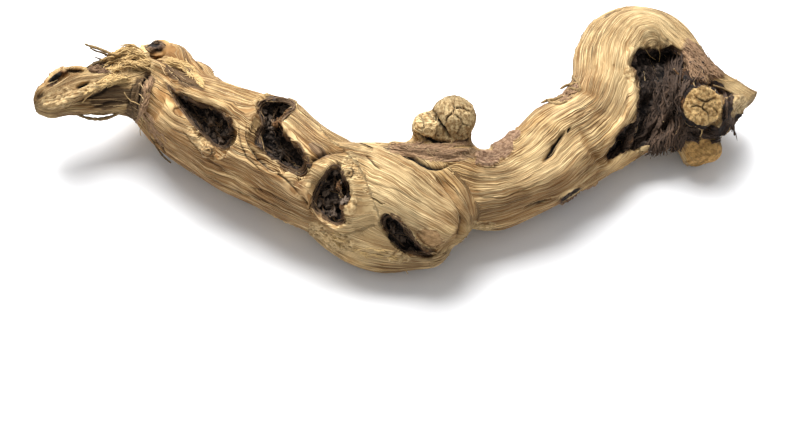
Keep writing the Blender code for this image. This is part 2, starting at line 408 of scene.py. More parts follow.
def roundOutline(outline, step=4.0):
    # A closed outline with rounded corners
    knots = [outline[-1], *outline, outline[0], outline[1]]
    curve = smoothPath([(x, y, 0, 0) for x, y in knots], step)
    inner = [p[:2] for p in curve]
    start = min(range(len(inner)), key=lambda i: math.dist(inner[i], outline[0]))
    stop = max(range(len(inner)), key=lambda i: -math.dist(inner[i], outline[0]) - (i <= start + 3) * 1e6)
    return np.array(inner[start:stop])


print("layout and helpers ready")


# The body: the solid's own form with cleaner hollows, rolled lips, knots and ropes of wood

bodyLook = {
    "firstVoxel": 0.0012,
    "voxel": 0.00072,
    "easing": 4,
    "triangles": 192000,
    "fluteHeight": 0.00036,     # broad waves across the grain, in metres
    "ridgeHeight": 0.00024,
    "fineHeight": 0.00018,
    "grainGirth": 0.022,
}

# Ropes of wood as squares with radii and how far each stands out, in squares
ropes = {
    "armTop": {"path": [(46, 84), (55, 75), (68, 70), (84, 70), (98, 72)], "radius": 4, "lift": 1},
    "armMiddle": {"path": [(44, 106), (62, 104), (82, 93), (104, 84), (126, 76)], "radius": 5, "lift": 2},
    "armLow": {"path": [(62, 112), (84, 108), (108, 108), (130, 106)], "radius": 4, "lift": 0},
    "armFold": {"path": [(104, 66), (118, 54), (134, 50), (146, 54)], "radius": 5, "lift": 1},
    "armFold2": {"path": [(112, 72), (124, 66), (136, 64), (150, 62)], "radius": 5, "lift": 2},
    "neckA": {"path": [(152, 66), (150, 80), (148, 98), (143, 116)], "radius": 4, "lift": 2},
    "neckB": {"path": [(143, 78), (140, 92), (138, 108), (134, 118)], "radius": 3, "lift": 1},
    "neckC": {"path": [(134, 80), (132, 92), (131, 108)], "radius": 3, "lift": 1},
    "humpFold": {"path": [(150, 60), (165, 68), (178, 80), (190, 90)], "radius": 5, "lift": 0},
    "humpFold2": {"path": [(168, 60), (182, 67), (192, 78)], "radius": 4, "lift": 0},
    "caveLip": {"path": [(632, 50), (624, 64), (630, 76), (633, 94), (632, 108), (627, 118), (617, 128),
                         (607, 143), (598, 157)], "radius": 5, "lift": 0},
    "spurCollar": {"path": [(392, 144), (416, 150), (440, 154), (468, 150)], "radius": 6, "lift": 1},
}
knobs = {
    "curl": (208, 151, 6.5, 2), "pocketKnob": (333, 217, 6, -8), "smallKnot": (349, 173, 5, 0),
    "spurKnob": (453, 117, 22, -13), "spurBud": (427, 127, 16, -8), "stubLowSide": (710, 149, 14, -8),
    "sawLow": (724, 126, 11, -6), "sideEnd": (737, 108, 14, -7),
}

# The round cut end of a stub, as its middle and radius in squares, and the straight saw cut beside it
stubFace = {"middle": (702.6, 105.7), "radius": 20, "reach": 14, "dome": 1.5, "shift": -3.5}
sawCut = {"from": (761, 96), "to": (730, 139), "seen": (748, 98), "thickness": 22, "tilt": 16, "lowest": 141,
          "stretchFrom": 726, "stretch": 0.2}


def addTube(bm, path, sides=8):
    mesh = tubesMesh("rope", [path], sides)
    bm.from_mesh(mesh)
    bpy.data.meshes.remove(mesh)
    for end in (path[0], path[-1]):
        ball = bmesh.ops.create_icosphere(bm, subdivisions=2, radius=end[3])
        bmesh.ops.translate(bm, verts=ball["verts"], vec=Vector(end[:3]))


def rimOf(hollow):
    # The corners of a mouth, with how far from the eye the skin just outside each of them lies
    mouth = np.array(hollow["mouth"], dtype=float)
    middle = mouth.mean(axis=0)
    rim = []
    for corner in mouth:
        outward = (corner - middle) / np.linalg.norm(corner - middle)
        spot, _ = castOn(plainSkin, *(corner + outward * 6))
        if spot is not None:
            rim.append((*corner, -((spot - eye) @ viewBack)))
    return np.array(rim)


def rimDepthAt(rim, spots):
    apart = np.hypot(spots[:, 0, None] - rim[:, 0], spots[:, 1, None] - rim[:, 1]) + 1
    weight = apart**-2
    return (weight * rim[:, 2]).sum(axis=1) / weight.sum(axis=1)


def sinkHollows(mesh):
    # Pushes the skin inside each mouth away from the eye, as deep as the hollow goes
    points = coordinates(mesh)
    facing = normalsOf(mesh) @ viewBack
    spots, depth = squaresOf(points)
    for hollow in hollows.values():
        rim = rimOf(hollow)
        near = np.flatnonzero(np.hypot(*(spots - rim[:, :2].mean(axis=0)).T) < 80)
        inner = insideOf(spots[near], hollow["mouth"])
        ragged = noiseAt(points[near], 260, 4.0) * hollow.get("ragged", 1.6)
        layers = 0.25 * smoothStep(-0.5, 1.5, inner + ragged) + 0.75 * smoothStep(1.8, 5.5, inner - ragged)
        wanted = hollow["depth"] * square * layers
        behind = depth[near] - rimDepthAt(rim, spots[near])
        push = np.clip(wanted - behind, 0, None) * ((inner > -2) & (facing[near] > -0.2) & (behind < 0.022))
        points[near] -= viewBack * push[:, None]
    place(mesh, points)


def flattenStub(mesh):
    # Turns the stub's round end into a flat face with a sharp edge
    points = coordinates(mesh)
    spots, depth = squaresOf(points)
    top, _ = castOn(plainSkin, *stubFace["middle"])
    topDepth = -((top - eye) @ viewBack)
    apart = np.hypot(spots[:, 0] + stubFace["shift"] - stubFace["middle"][0], spots[:, 1] - stubFace["middle"][1])
    moving = smoothStep(1.7, 1.1, apart / stubFace["radius"]) * (depth < topDepth + 2 * stubFace["reach"] * square)
    points[:, 0] += stubFace["shift"] * square * moving
    spots, depth = squaresOf(points)
    share = np.hypot(*(spots - stubFace["middle"]).T) / stubFace["radius"]
    share = share * (1 + 0.05 * noiseAt(np.column_stack([spots / 9, depth * 0])))
    ending = (share < 1) & (depth < topDepth + stubFace["reach"] * square)
    wanted = topDepth + (1 + stubFace["dome"] * share**2) * square
    points[ending] += viewBack * (depth - wanted)[ending, None]
    place(mesh, points)


def cutEnd(mesh):
    # Moves all that lies beyond the saw cut back onto its plane
    points = coordinates(mesh)
    spots, _ = squaresOf(points)
    past = np.clip(spots[:, 0] - sawCut["stretchFrom"], 0, None) * (spots[:, 1] < sawCut["lowest"])
    points[:, 0] += past * sawCut["stretch"] * square
    start, end = (sightLine(*sawCut[key]) for key in ("from", "to"))
    top, _ = castOn(plainSkin, *sawCut["seen"])
    farSide = -((top - eye) @ viewBack) + sawCut["thickness"] * square
    across = np.cross(start, end)
    across /= np.linalg.norm(across)
    if across[0] < 0:
        across = -across
    tilt = math.radians(sawCut["tilt"])
    across = across * math.cos(tilt) + viewBack * math.sin(tilt)
    onPlane = eye + start * farSide
    beyond = (points - onPlane) @ across
    spots, _ = squaresOf(points)
    nearEnd = (spots[:, 0] > sawCut["to"][0] - 8) & (spots[:, 1] < sawCut["lowest"]) & (beyond > 0)
    points[nearEnd] -= across * beyond[nearEnd, None]
    place(mesh, points)


def addRolls(bm):
    # Rolled lips round the mouths, ropes of wood and knots
    for name, hollow in hollows.items():
        if name in ("cave", "edgeHole", "armHole"):
            continue
        outline = roundOutline(hollow["mouth"])
        middle = outline.mean(axis=0)
        outward = outline - middle
        outward /= np.linalg.norm(outward, axis=1)[:, None]
        laid = laidPath(plainSkin, outline + outward * 3.5, -1.2 * square, evenings=4)
        laid = keptNear(plainSkin, laid, 2.5 * square)
        swell = 2.4 + 1.3 * np.array([noise.noise((x / 14, y / 14, 2)) for x, y in outline])
        closed = np.concatenate([np.column_stack([laid, swell * square])] * 2)[: len(laid) + 2]
        addTube(bm, closed)
    for rope in ropes.values():
        knots = [(x, y, 0, 0) for x, y in rope["path"]]
        track = smoothPath(knots, 4)[:, :2]
        laid = laidPath(plainSkin, track, rope["lift"] * square, evenings=3)
        taper = np.sin(np.linspace(0.25, math.pi - 0.25, len(laid))) ** 0.5
        addTube(bm, np.column_stack([laid, rope["radius"] * square * taper]))
    for x, y, radius, lift in knobs.values():
        spot, _ = castOn(plainSkin, x, y)
        if spot is None:
            continue
        centre = spot + viewBack * lift * square
        ball = bmesh.ops.create_icosphere(bm, subdivisions=3, radius=radius * square)
        bmesh.ops.translate(bm, verts=ball["verts"], vec=Vector(centre))


def makeBody():
    body = newPiece("driftwoodBody", weldedCopy(nodeMesh))
    finer = body.modifiers.new("finer", "SUBSURF")
    finer.levels = finer.render_levels = 1
    applyModifiers(body)
    remesh(body, bodyLook["firstVoxel"], 2)
    sinkHollows(body.data)
    bm = bmesh.new()
    bm.from_mesh(body.data)
    addRolls(bm)
    bm.to_mesh(body.data)
    bm.free()
    flattenStub(body.data)
    cutEnd(body.data)
    remesh(body, bodyLook["voxel"], bodyLook["easing"])
    return body


limbNames = list(grainLimbs)
limbPaths = [limbPath(stations) for stations in grainLimbs.values()]
body = makeBody()
print("body", len(body.data.vertices), "points", len(body.data.polygons), "faces")

# Hollows in the back: x, height, radius and depth of the middle, in squares
backHollows = {
    "backLong": [(210, 58, 8, 3), (238, 52, 15, 7), (264, 44, 10, 4)],
    "backPocket": [(352, 62, 10, 4), (370, 54, 14, 8)],
    "backSlit": [(520, 56, 7, 3), (546, 54, 10, 4), (568, 54, 7, 3)],
}

# Cracks that run with the grain round the sides, the back and the underside
wildCracks = {
    "count": 46,
    "halfLength": (0.008, 0.024),
    "width": (0.0008, 0.0014),
    "depth": (0.0010, 0.0026),
    "wave": 0.05,              # how far they wander round the limb, in radians
}

# Cracks: squares along each, its width and depth in squares, and how dark the painted shade in it is
cracks = {
    "leftBroken": ([(245, 118), (246, 135), (252, 150), (266, 166), (284, 178), (300, 196)], 1.5, 3.5, 0.85),
    "leftBroken2": ([(238, 122), (240, 142), (247, 158), (262, 172)], 1.0, 2.0, 0.6),
    "shoulderCrease": ([(298, 181), (306, 168), (315, 158), (328, 152), (346, 150)], 1.8, 4.0, 0.75),
    "bellySeam": ([(300, 196), (307, 206), (310, 216)], 1.6, 3.0, 0.6),
    "spurCrack": ([(376, 144), (396, 151), (416, 160), (437, 168), (456, 163)], 1.8, 5.0, 1.0),
    "zigzagA": ([(365, 155), (371, 161), (375, 166), (381, 170)], 1.0, 2.5, 0.8),
    "zigzagB": ([(370, 198), (376, 200), (380, 203), (386, 203)], 1.0, 2.5, 0.8),
    "rightSlit": ([(543, 163), (549, 155), (555, 146), (561, 137), (566, 131)], 3.0, 8.0, 1.0),
    "rightSlit2": ([(568, 132), (572, 126)], 1.6, 4.0, 1.0),
    "lowCrack": ([(524, 209), (533, 205), (542, 202), (551, 198)], 1.5, 4.0, 0.9),
    "edgeSplit": ([(150, 150), (160, 166), (168, 178)], 1.2, 3.0, 0.8),
    "armHole": ([(50, 84), (54, 78), (58, 75), (63, 73)], 4.0, 9.0, 1.0),
    "armHole2": ([(63, 73), (72, 71), (84, 70)], 1.6, 4.0, 0.9),
    "armTip": ([(35, 100), (38, 96), (43, 92)], 2.2, 4.0, 0.7),
    "armSlit": ([(76, 87), (82, 85), (90, 81)], 1.5, 5.0, 1.0),
    "armShade": ([(76, 103), (92, 98), (106, 90), (118, 82)], 1.6, 3.0, 0.7),
    "armShade2": ([(88, 108), (106, 104), (124, 100)], 1.2, 2.0, 0.6),
    "foldSlit": ([(130, 63), (133, 58), (136, 61), (134, 66)], 1.5, 5.0, 1.0),
    "neckPocket": ([(142, 86), (146, 78), (151, 72)], 3.6, 8.0, 1.0),
    "neckLine": ([(141, 84), (139, 98), (136, 112)], 1.8, 5.0, 0.8),
    "neckLine2": ([(132, 84), (130, 96), (128, 108)], 1.4, 3.0, 0.6),
    "lowEdge": ([(150, 132), (158, 144), (164, 154), (170, 161)], 1.6, 4.0, 0.9),
    "humpCrack": ([(165, 66), (176, 76), (190, 84), (202, 86)], 1.5, 3.0, 0.7),
    "humpCrack2": ([(150, 56), (164, 62), (176, 70)], 1.1, 2.0, 0.5),
    # The dark under the bud and the knob is painted shadow
    "budGap": ([(431, 109), (435, 117), (440, 126), (446, 132), (452, 137)], 2.0, 7.0, 1.0),
    "budUnder": ([(412, 131), (422, 138), (436, 141), (452, 141)], 1.6, 5.0, 1.0),
    "knobUnder": ([(452, 142), (464, 141), (474, 136)], 1.5, 4.0, 0.8),
    "knobStar1": ([(451, 102), (455, 107), (462, 108), (469, 112)], 1.1, 2.4, 0.8),
    "knobStar2": ([(455, 107), (452, 113), (447, 117), (446, 124)], 1.1, 2.4, 0.8),
    "knobStar3": ([(452, 113), (459, 118), (463, 124), (470, 126)], 1.0, 2.0, 0.7),
    "knobStar4": ([(463, 124), (459, 130), (456, 135)], 1.0, 2.0, 0.6),
    "discStar1": ([(694, 96), (700, 99), (706, 102), (711, 99), (716, 97)], 1.0, 2.0, 0.8),
    "discStar2": ([(706, 102), (703, 108), (707, 113), (709, 119)], 1.0, 2.0, 0.8),
    "discStar3": ([(690, 107), (697, 106), (703, 108)], 1.0, 2.0, 0.7),
    "discStar4": ([(712, 107), (717, 112), (716, 117)], 0.9, 1.6, 0.6),
    "curlRing": ([(203, 151), (205, 147), (210, 146), (213, 150), (211, 155), (206, 156)], 1.0, 1.8, 0.7),
    "curlHeart": ([(207, 151), (209, 150), (210, 152)], 1.0, 1.8, 0.8),
    "knotRing": ([(345, 172), (348, 169), (352, 170), (353, 174), (350, 177), (346, 175)], 0.9, 1.6, 0.7),
    "knotHeart": ([(348, 173), (350, 173)], 1.2, 2.0, 0.9),
    "trunkLine1": ([(180, 128), (196, 148), (214, 164), (236, 178)], 1.0, 1.4, 0.45),
    "trunkLine2": ([(196, 168), (222, 184), (250, 196), (280, 208)], 1.0, 1.4, 0.45),
    "trunkLine3": ([(246, 186), (270, 194), (292, 206)], 1.0, 1.4, 0.5),
    "rightLine1": ([(474, 196), (500, 198), (524, 190), (544, 180)], 1.0, 1.0, 0.35),
    "bendLine1": ([(590, 70), (592, 52), (600, 36), (614, 22)], 1.0, 1.0, 0.3),
    "bendScratch": ([(602, 18), (612, 12), (622, 9)], 1.3, 2.0, 0.7),
    "lobeSide": ([(437, 177), (449, 191), (458, 206), (463, 221), (462, 236), (454, 248)], 1.3, 2.5, 0.6),
    "lobeLine": ([(352, 176), (372, 184), (396, 190), (420, 204)], 1.0, 1.0, 0.35),
}

# Soft valleys where limbs meet: squares along each, width, depth and how brown the painted shade in it is
valleys = {
    "lobeEdge": ([(437, 177), (450, 190), (459, 205), (463, 220), (461, 234), (450, 247), (432, 253), (416, 254)],
                 5.0, 5.0, 0.8),
    "heel": ([(579, 122), (583, 134), (589, 147), (597, 158), (603, 164)], 4.5, 3.5, 0.9),
    "bendNotch": ([(578, 88), (588, 92), (600, 98)], 4.0, 2.5, 0.6),
    "shoulder": ([(297, 183), (306, 168), (316, 157), (330, 151), (348, 149)], 5.0, 3.0, 0.8),
    "belly": ([(300, 196), (310, 212), (322, 228), (336, 238)], 5.0, 3.0, 0.6),
    "bellyRidge": ([(352, 226), (372, 240), (394, 250), (412, 256)], 5.0, 2.0, 0.5),
    "trunkDent": ([(216, 158), (236, 168), (258, 184)], 7.0, 3.0, 0.5),
    "neck": ([(166, 80), (160, 98), (152, 120)], 5.0, 4.0, 0.9),
    "bendRipple1": ([(586, 104), (598, 112), (612, 116)], 4.0, 1.6, 0.3),
    "bendRipple2": ([(604, 60), (612, 66), (622, 68)], 4.0, 1.6, 0.2),
    "rightDent": ([(470, 176), (474, 196), (470, 214)], 6.0, 2.2, 0.4),
    "rightDent2": ([(584, 118), (572, 140), (566, 160)], 8.0, 2.6, 0.2),
}

# Patches: middle, half sizes and turn in degrees, in squares
patches = {
    "bark": [(430, 153, 44, 7, 6), (468, 154, 14, 6, 0), (318, 150, 12, 5, 30), (700, 60, 11, 26, -50)],
    "flake": [(487, 159, 15, 8, -12), (503, 149, 14, 9, -35), (512, 138, 11, 5, -30), (540, 101, 9, 3, -30),
              (571, 90, 9, 5, -30), (560, 97, 7, 3, -35)],
    "shade": [(110, 98, 22, 11, -18), (136, 100, 9, 22, 12), (146, 84, 8, 14, 20), (98, 68, 12, 5, -10),
              (184, 76, 24, 9, 35)],
    "shag": [(692, 84, 14, 30, 10), (719, 88, 14, 5, 30), (706, 131, 20, 8, 6), (727, 112, 5, 20, 12),
             (664, 96, 26, 50, 6), (738, 125, 7, 15, 38), (690, 128, 16, 12, 0),
             (727, 132, 9, 9, 0)],
    "straw": [(457, 118, 25, 25, 0), (428, 126, 18, 16, 0), (124, 60, 26, 12, -14), (740, 105, 8, 11, 15),
              (724, 127, 4, 4, 0), (656, 62, 27, 9, 8), (632, 74, 9, 9, 0), (94, 86, 18, 5, -20)],
    "stubLow": [(704, 154, 19, 15, 0)],
    "disc": [(702.6, 105.7, 19.5, 20.5, 0)],
    "warty": [(340, 242, 17, 9, 16), (398, 257, 14, 6, 6), (484, 225, 12, 5, 0), (318, 232, 10, 6, 40),
              (349, 200, 9, 14, -10), (352, 168, 11, 12, 0), (200, 138, 14, 10, 30), (58, 98, 16, 10, -20)],
    "scar": [(430, 237, 15, 9, 14)],
    "pale": [(622, 60, 20, 50, 12), (640, 28, 40, 16, 0), (404, 190, 44, 22, 30), (548, 160, 46, 22, -30),
             (340, 190, 20, 30, 0), (380, 225, 40, 30, 20), (738, 92, 18, 7, 24)],
    "worn": [(180, 68, 36, 18, 35), (250, 190, 70, 30, 28), (206, 160, 50, 22, 40), (290, 200, 50, 16, 24), (300, 140, 24, 14, 20),
             (500, 210, 70, 12, -8), (560, 185, 30, 10, -30)],
}


def patchOf(name, spots, facing, ragged, edge=0.12):
    mask = np.zeros(len(spots))
    for x, y, halfX, halfY, turn in patches[name]:
        c, s = math.cos(math.radians(turn)), math.sin(math.radians(turn))
        dx, dy = spots[:, 0] - x, spots[:, 1] - y
        reach = np.hypot((dx * c + dy * s) / halfX, (-dx * s + dy * c) / halfY)
        mask = np.maximum(mask, smoothStep(1 + edge, 1 - edge, reach + ragged))
    return mask * smoothStep(-0.15, 0.1, facing)


def nearestOnTrack(spots, track):
    # How far each spot is from the track, and the index of the nearest point of it
    tree = kdtree.KDTree(len(track))
    for index, (x, y) in enumerate(track):
        tree.insert((x, y, 0), index)
    tree.balance()
    found = [tree.find((x, y, 0)) for x, y in spots.tolist()]
    return np.array([item[2] for item in found]), np.array([item[1] for item in found])


def grooves(lines, moved, facing, ends=0.6):
    # How deep the drawn lines make each spot, and how dark the painted shade in them is
    depth, dark = np.zeros(len(moved)), np.zeros(len(moved))
    for squares, width, deep, darkness in lines.values():
        track = smoothPath([(x, y, 0, 0) for x, y in squares], 0.5)[:, :2]
        margin = width * 3
        inBox = (moved > track.min(axis=0) - margin) & (moved < track.max(axis=0) + margin)
        near = np.flatnonzero(inBox.all(axis=1) & (facing > -0.1))
        apart, nearest = nearestOnTrack(moved[near], track)
        share = (nearest + 0.5) / len(track)
        narrowing = np.sin(share * math.pi) ** ends
        groove = np.exp(-((apart / (width * (0.35 + 0.65 * narrowing))) ** 2)) * narrowing
        groove *= smoothStep(-0.05, 0.15, facing[near])
        depth[near] = np.maximum(depth[near], groove * deep * square)
        dark[near] = np.maximum(dark[near], smoothStep(0.2, 0.75, groove) * darkness)
    return depth, dark


def backMouths(points, normals):
    # How far inside a hollow of the back each point lies, from 0 to 1, and how deep the hollow is there
    inner, deep = np.zeros(len(points)), np.zeros(len(points))
    for stations in backHollows.values():
        path = smoothPath(stations, 1.0)
        x = (path[:, 0] - layout["middle"][0]) * square - layout["origin"][0]
        beside = (points[:, 0] > x.min() - 0.02) & (points[:, 0] < x.max() + 0.02)
        near = np.flatnonzero(beside & (normals[:, 1] > -0.5) & (points[:, 1] > backLine(points[:, 0])))
        apart = np.hypot(points[near, 0, None] - x, points[near, 2, None] - path[:, 1] * square)
        share = apart / (path[:, 2] * square)
        depths = path[share.argmin(axis=1), 3] * square
        edge = share.min(axis=1) + 0.25 * noiseAt(points[near], 260)
        inner[near] = np.maximum(inner[near], smoothStep(1.1, 0.9, edge))
        deep[near] = np.maximum(deep[near], smoothStep(1.1, 0.6, edge) * depths)
    return inner, deep


def backLine(x):
    # How far back the vine's middle lies at each x
    order = np.argsort(limbPaths[0][:, 0])
    return np.interp(x, limbPaths[0][order, 0], limbPaths[0][order, 1])


def wildGrooves(points, found, facing):
    # The depth and darkness of cracks strewn where the photograph's side doesn't show
    depth, dark = np.zeros(len(points)), np.zeros(len(points))
    hidden = np.flatnonzero(facing < 0.25)
    for _ in range(wildCracks["count"]):
        seed = hidden[draw.integers(len(hidden))]
        halfLength = draw.uniform(*wildCracks["halfLength"])
        width = draw.uniform(*wildCracks["width"])
        deep = draw.uniform(*wildCracks["depth"])
        phase = draw.uniform(0, 9)
        same = hidden[found["limb"][hidden] == found["limb"][seed]]
        offset = (found["along"][same] - found["along"][seed]) / halfLength
        same, offset = same[np.abs(offset) < 1], offset[np.abs(offset) < 1]
        wave = wildCracks["wave"] * np.sin(offset * 2.5 + phase)
        turn = (found["angle"][same] - found["angle"][seed] - wave + math.pi) % (2 * math.pi) - math.pi
        narrowing = 1 - offset**2
        across = turn * found["radius"][same] / (width * (0.4 + 0.6 * narrowing))
        groove = np.exp(-(across**2)) * narrowing * smoothStep(0.25, 0.0, facing[same])
        depth[same] = np.maximum(depth[same], groove * deep)
        # Painted shade inside the crack
        dark[same] = np.maximum(dark[same], groove**1.5)
    return depth, dark


def grainFlow(points, found):
    # The grain's own coordinates: metres along, and the girth as two numbers, bent round every hollow
    along, angle = found["along"].copy(), found["angle"].copy()
    for hollow in hollows.values():
        x, y, halfAlong, halfAcross = hollow["grain"]
        spot, _ = castOn(plainSkin, x, y)
        centre = grainOf(spot[None], limbPaths)
        apart = np.linalg.norm(points - spot, axis=1)
        same = (found["limb"] == centre["limb"][0]) & (apart < 0.07)
        reach = halfAcross * square
        away = (angle - centre["angle"][0] + math.pi) % (2 * math.pi) - math.pi
        across = away * centre["radius"][0]
        squared = ((along - centre["along"][0]) * halfAcross / halfAlong) ** 2 + across**2
        shift = across * reach**2 / np.maximum(squared, reach**2)
        angle[same] -= (shift * smoothStep(0.07, 0.04, apart) / centre["radius"][0])[same]
    girth = bodyLook["grainGirth"]
    onLimb = np.stack([along, np.cos(angle) * girth, np.sin(angle) * girth], axis=1)
    angle = angle + 0.06 * noiseAt(onLimb, 45, 3.0) + 0.035 * noiseAt(points, 150, 21.0)
    return np.stack([along + found["limb"] * 0.31, np.cos(angle) * girth, np.sin(angle) * girth], axis=1)


def mouthDepth(spots, depth, points):
    # How far inside a mouth each spot lies, in squares, and how far below its rim, in metres
    inner = np.full(len(spots), -99.0)
    below = np.zeros(len(spots))
    for hollow in hollows.values():
        rim = rimOf(hollow)
        near = np.flatnonzero(np.hypot(*(spots - rim[:, :2].mean(axis=0)).T) < 80)
        inside = insideOf(spots[near], hollow["mouth"])
        behind = depth[near] - rimDepthAt(rim, spots[near])
        inside = np.where(behind < 0.026, inside, -99.0)
        deeper = inside > inner[near]
        inner[near[deeper]] = inside[deeper]
        below[near[deeper]] = behind[deeper]
    return inner, below


def refine(body):
    # Smaller faces along the cracks, so that they come out sharp
    for reach in (3.0, 1.2):
        spots, _ = squaresOf(coordinates(body.data))
        facing = normalsOf(body.data) @ viewBack
        near = np.zeros(len(spots), dtype=bool)
        for squares, width, deep, darkness in cracks.values():
            track = smoothPath([(x, y, 0, 0) for x, y in squares], 0.5)[:, :2]
            margin = width + reach
            inBox = (spots > track.min(axis=0) - margin) & (spots < track.max(axis=0) + margin)
            some = np.flatnonzero(inBox.all(axis=1) & (facing > -0.1))
            apart, _ = nearestOnTrack(spots[some], track)
            near[some[apart < margin]] = True
        bm = bmesh.new()
        bm.from_mesh(body.data)
        chosen = [edge for edge in bm.edges if near[edge.verts[0].index] and near[edge.verts[1].index]]
        bmesh.ops.subdivide_edges(bm, edges=chosen, cuts=1, use_grid_fill=True)
        bm.to_mesh(body.data)
        bm.free()


def maskAll(spots, facing, points, limb):
    ragged = noiseAt(points, 130, 12.0) * 0.3 + noiseAt(points, 420, 13.0) * 0.18
    masks = {name: patchOf(name, spots, facing, ragged) for name in ("bark", "shade", "shag", "warty", "worn")}
    masks["flake"] = patchOf("flake", spots, facing, ragged, 0.05)
    masks["straw"] = patchOf("straw", spots, facing, ragged * 0.3)
    masks["stubLow"] = patchOf("stubLow", spots, facing, ragged * 0.3)
    masks["disc"] = patchOf("disc", spots, facing - 0.3, ragged * 0.12, 0.04)
    masks["scar"] = patchOf("scar", spots, facing, ragged * 1.3, 0.06)
    masks["pale"] = patchOf("pale", spots, facing, ragged, 0.4)
    masks["shag"] *= 1 - masks["disc"]
    hidden = smoothStep(0.0, -0.3, facing)
    strewn = noiseAt(points, 24, 61.0) + 0.3 * ragged
    masks["flake"] = np.maximum(masks["flake"], smoothStep(0.5, 0.53, strewn) * hidden)
    barkSpots = smoothStep(0.28, 0.5, noiseAt(points, 30, 71.0) + 0.3 * ragged)
    barkSpots = np.maximum(barkSpots, np.isin(limb, [limbNames.index(name) for name in ("stubFront", "stubSide")]))
    masks["bark"] = np.maximum(masks["bark"], barkSpots * hidden)
    masks["warty"] = np.maximum(masks["warty"], smoothStep(-0.3, -0.5, noiseAt(points, 34, 81.0)) * hidden)
    return masks


def detailBody(body):
    refine(body)
    mesh = body.data
    points, normals, edges = coordinates(mesh), normalsOf(mesh), edgesOf(mesh)
    facing = normals @ viewBack
    spots, depth = squaresOf(points)
    found = grainOf(points, limbPaths)
    grain = grainFlow(points, found)
    print("grain laid")
    # How far the skin lies below its wider surroundings, which the material turns into painted shade
    hollowness = ((spread(points, edges, 50) - points) * normals).sum(axis=1)
    inner, below = mouthDepth(spots, depth, points)
    sunk = smoothStep(-1.2, 0.8, inner + noiseAt(points, 300, 31.0) * 1.3) * smoothStep(-0.9, -0.6, facing)
    aside = np.flatnonzero((sunk > 0) & (facing < 0.12))
    skinDeep = np.array([plainSkin.find_nearest(Vector(p))[3] < 0.001 for p in points[aside]], dtype=bool)
    sunk[aside[skinDeep]] = 0
    rear, rearDepth = backMouths(points, normals)
    sunk = np.maximum(sunk, rear)
    below = np.maximum(below, rearDepth)
    masks = maskAll(spots, facing, points, found["limb"])
    print("patches laid")
    flutes = noiseAt(grain, np.array((7, 110, 110)))
    ridges = np.abs(noiseAt(grain, np.array((13, 420, 420)), 5.0))
    fine = noiseAt(grain, np.array((24, 760, 760)), 9.0)
    muscles = noiseAt(points, 42, 51.0)
    plain = (1 - 0.8 * masks["straw"]) * (1 - 0.9 * masks["scar"]) * (1 - masks["disc"])
    calm = (1 - sunk) * plain
    height = bodyLook["fluteHeight"] * flutes * calm * (1 - 0.85 * masks["pale"])
    height += 0.0009 * muscles * (1 - sunk)
    height += bodyLook["ridgeHeight"] * (np.clip(ridges * 3.5, 0, 1) - 0.7) * calm * (1 - 0.7 * masks["pale"])
    height += bodyLook["fineHeight"] * fine * calm
    wander = np.stack([noiseAt(points, 200, 7.0), noiseAt(points, 200, 17.0)], axis=1)
    crackDepth, crackDark = grooves(cracks, spots + wander * 1.3, facing)
    # The valleys' brown is painted shade in the creases where limbs meet
    valleyDepth, valleyShade = grooves(valleys, spots + wander * 1.2, facing, 0.4)
    wildDepth, wildDark = wildGrooves(points, found, facing)
    crackDark = np.maximum(crackDark, wildDark)
    height -= (crackDepth + valleyDepth + wildDepth) * (1 - sunk) + rearDepth
    lumps = noiseAt(points, 170, 2.0)
    crumble = noiseAt(points, 420, 2.0) + 0.7 * noiseAt(points, 1000, 6.0)
    rough = np.maximum(sunk, masks["shag"])
    height += (0.0022 * lumps + 0.0010 * crumble) * rough
    flakes = noiseAt(points, 600, 8.0)
    height += masks["bark"] * (0.0005 + 0.0004 * flakes)
    height += masks["flake"] * (0.0015 + 0.0005 * flakes + 0.0004 * lumps)
    height += masks["shade"] * 0.0004 * flakes
    height += masks["warty"] * 0.0010 * (0.2 + noiseAt(points, 480, 14.0) + 0.5 * flakes)
    grit = noiseAt(points, 900, 18.0) + noiseAt(points, 420, 19.0)
    height += (masks["straw"] + masks["disc"]) * 0.0005 * grit
    ring = 4 * masks["scar"] * (1 - masks["scar"])
    height += masks["scar"] * -0.0006 + ring * (0.0009 + 0.0006 * flakes)
    points = points + normals * height[:, None]
    points[:, 2] = np.maximum(points[:, 2], 0.0001)
    place(mesh, points)
    # How far the skin stands above or sinks below its close surroundings, for painted shade in creases and pale crests
    crest = ((points - spread(points, edges, 3)) * normalsOf(mesh)).sum(axis=1)
    masks["warty"] = np.maximum(masks["warty"], ring)
    store(mesh, "grain", grain)
    store(mesh, "sunk", sunk)
    # How far below its rim a spot in a hollow lies: the material paints it darker deeper in, as painted shade
    store(mesh, "below", np.clip(below / 0.011, 0, 1))
    # Painted shade in the cracks
    store(mesh, "crackShade", crackDark)
    store(mesh, "valleyShade", valleyShade)
    for name, mask in masks.items():
        store(mesh, name, mask)
    # Crest feeds painted shade in creases, and pale crests that are partly wear and partly painted highlight
    store(mesh, "crest", np.clip(crest / 0.0004, -1, 1))
    # Painted shade in the broad hollows of the skin
    store(mesh, "dipShade", np.clip(hollowness / 0.0016, -1, 1))
    print("body has", len(mesh.polygons), "faces before it is thinned")
    thin = body.modifiers.new("thin", "DECIMATE")
    thin.ratio = bodyLook["triangles"] / sum(len(face.vertices) - 2 for face in mesh.polygons)
    applyModifiers(body).shade_smooth()


detailBody(body)
bodySkin = BVHTree.FromObject(body, bpy.context.evaluated_depsgraph_get())
print("body detailed:", len(body.data.polygons), "faces")


# Fibres: each field spreads strands between two guide lines, in squares, and lifts them off the skin.
# Tufts is how many bundles they are gathered in, and wobble how much they wander

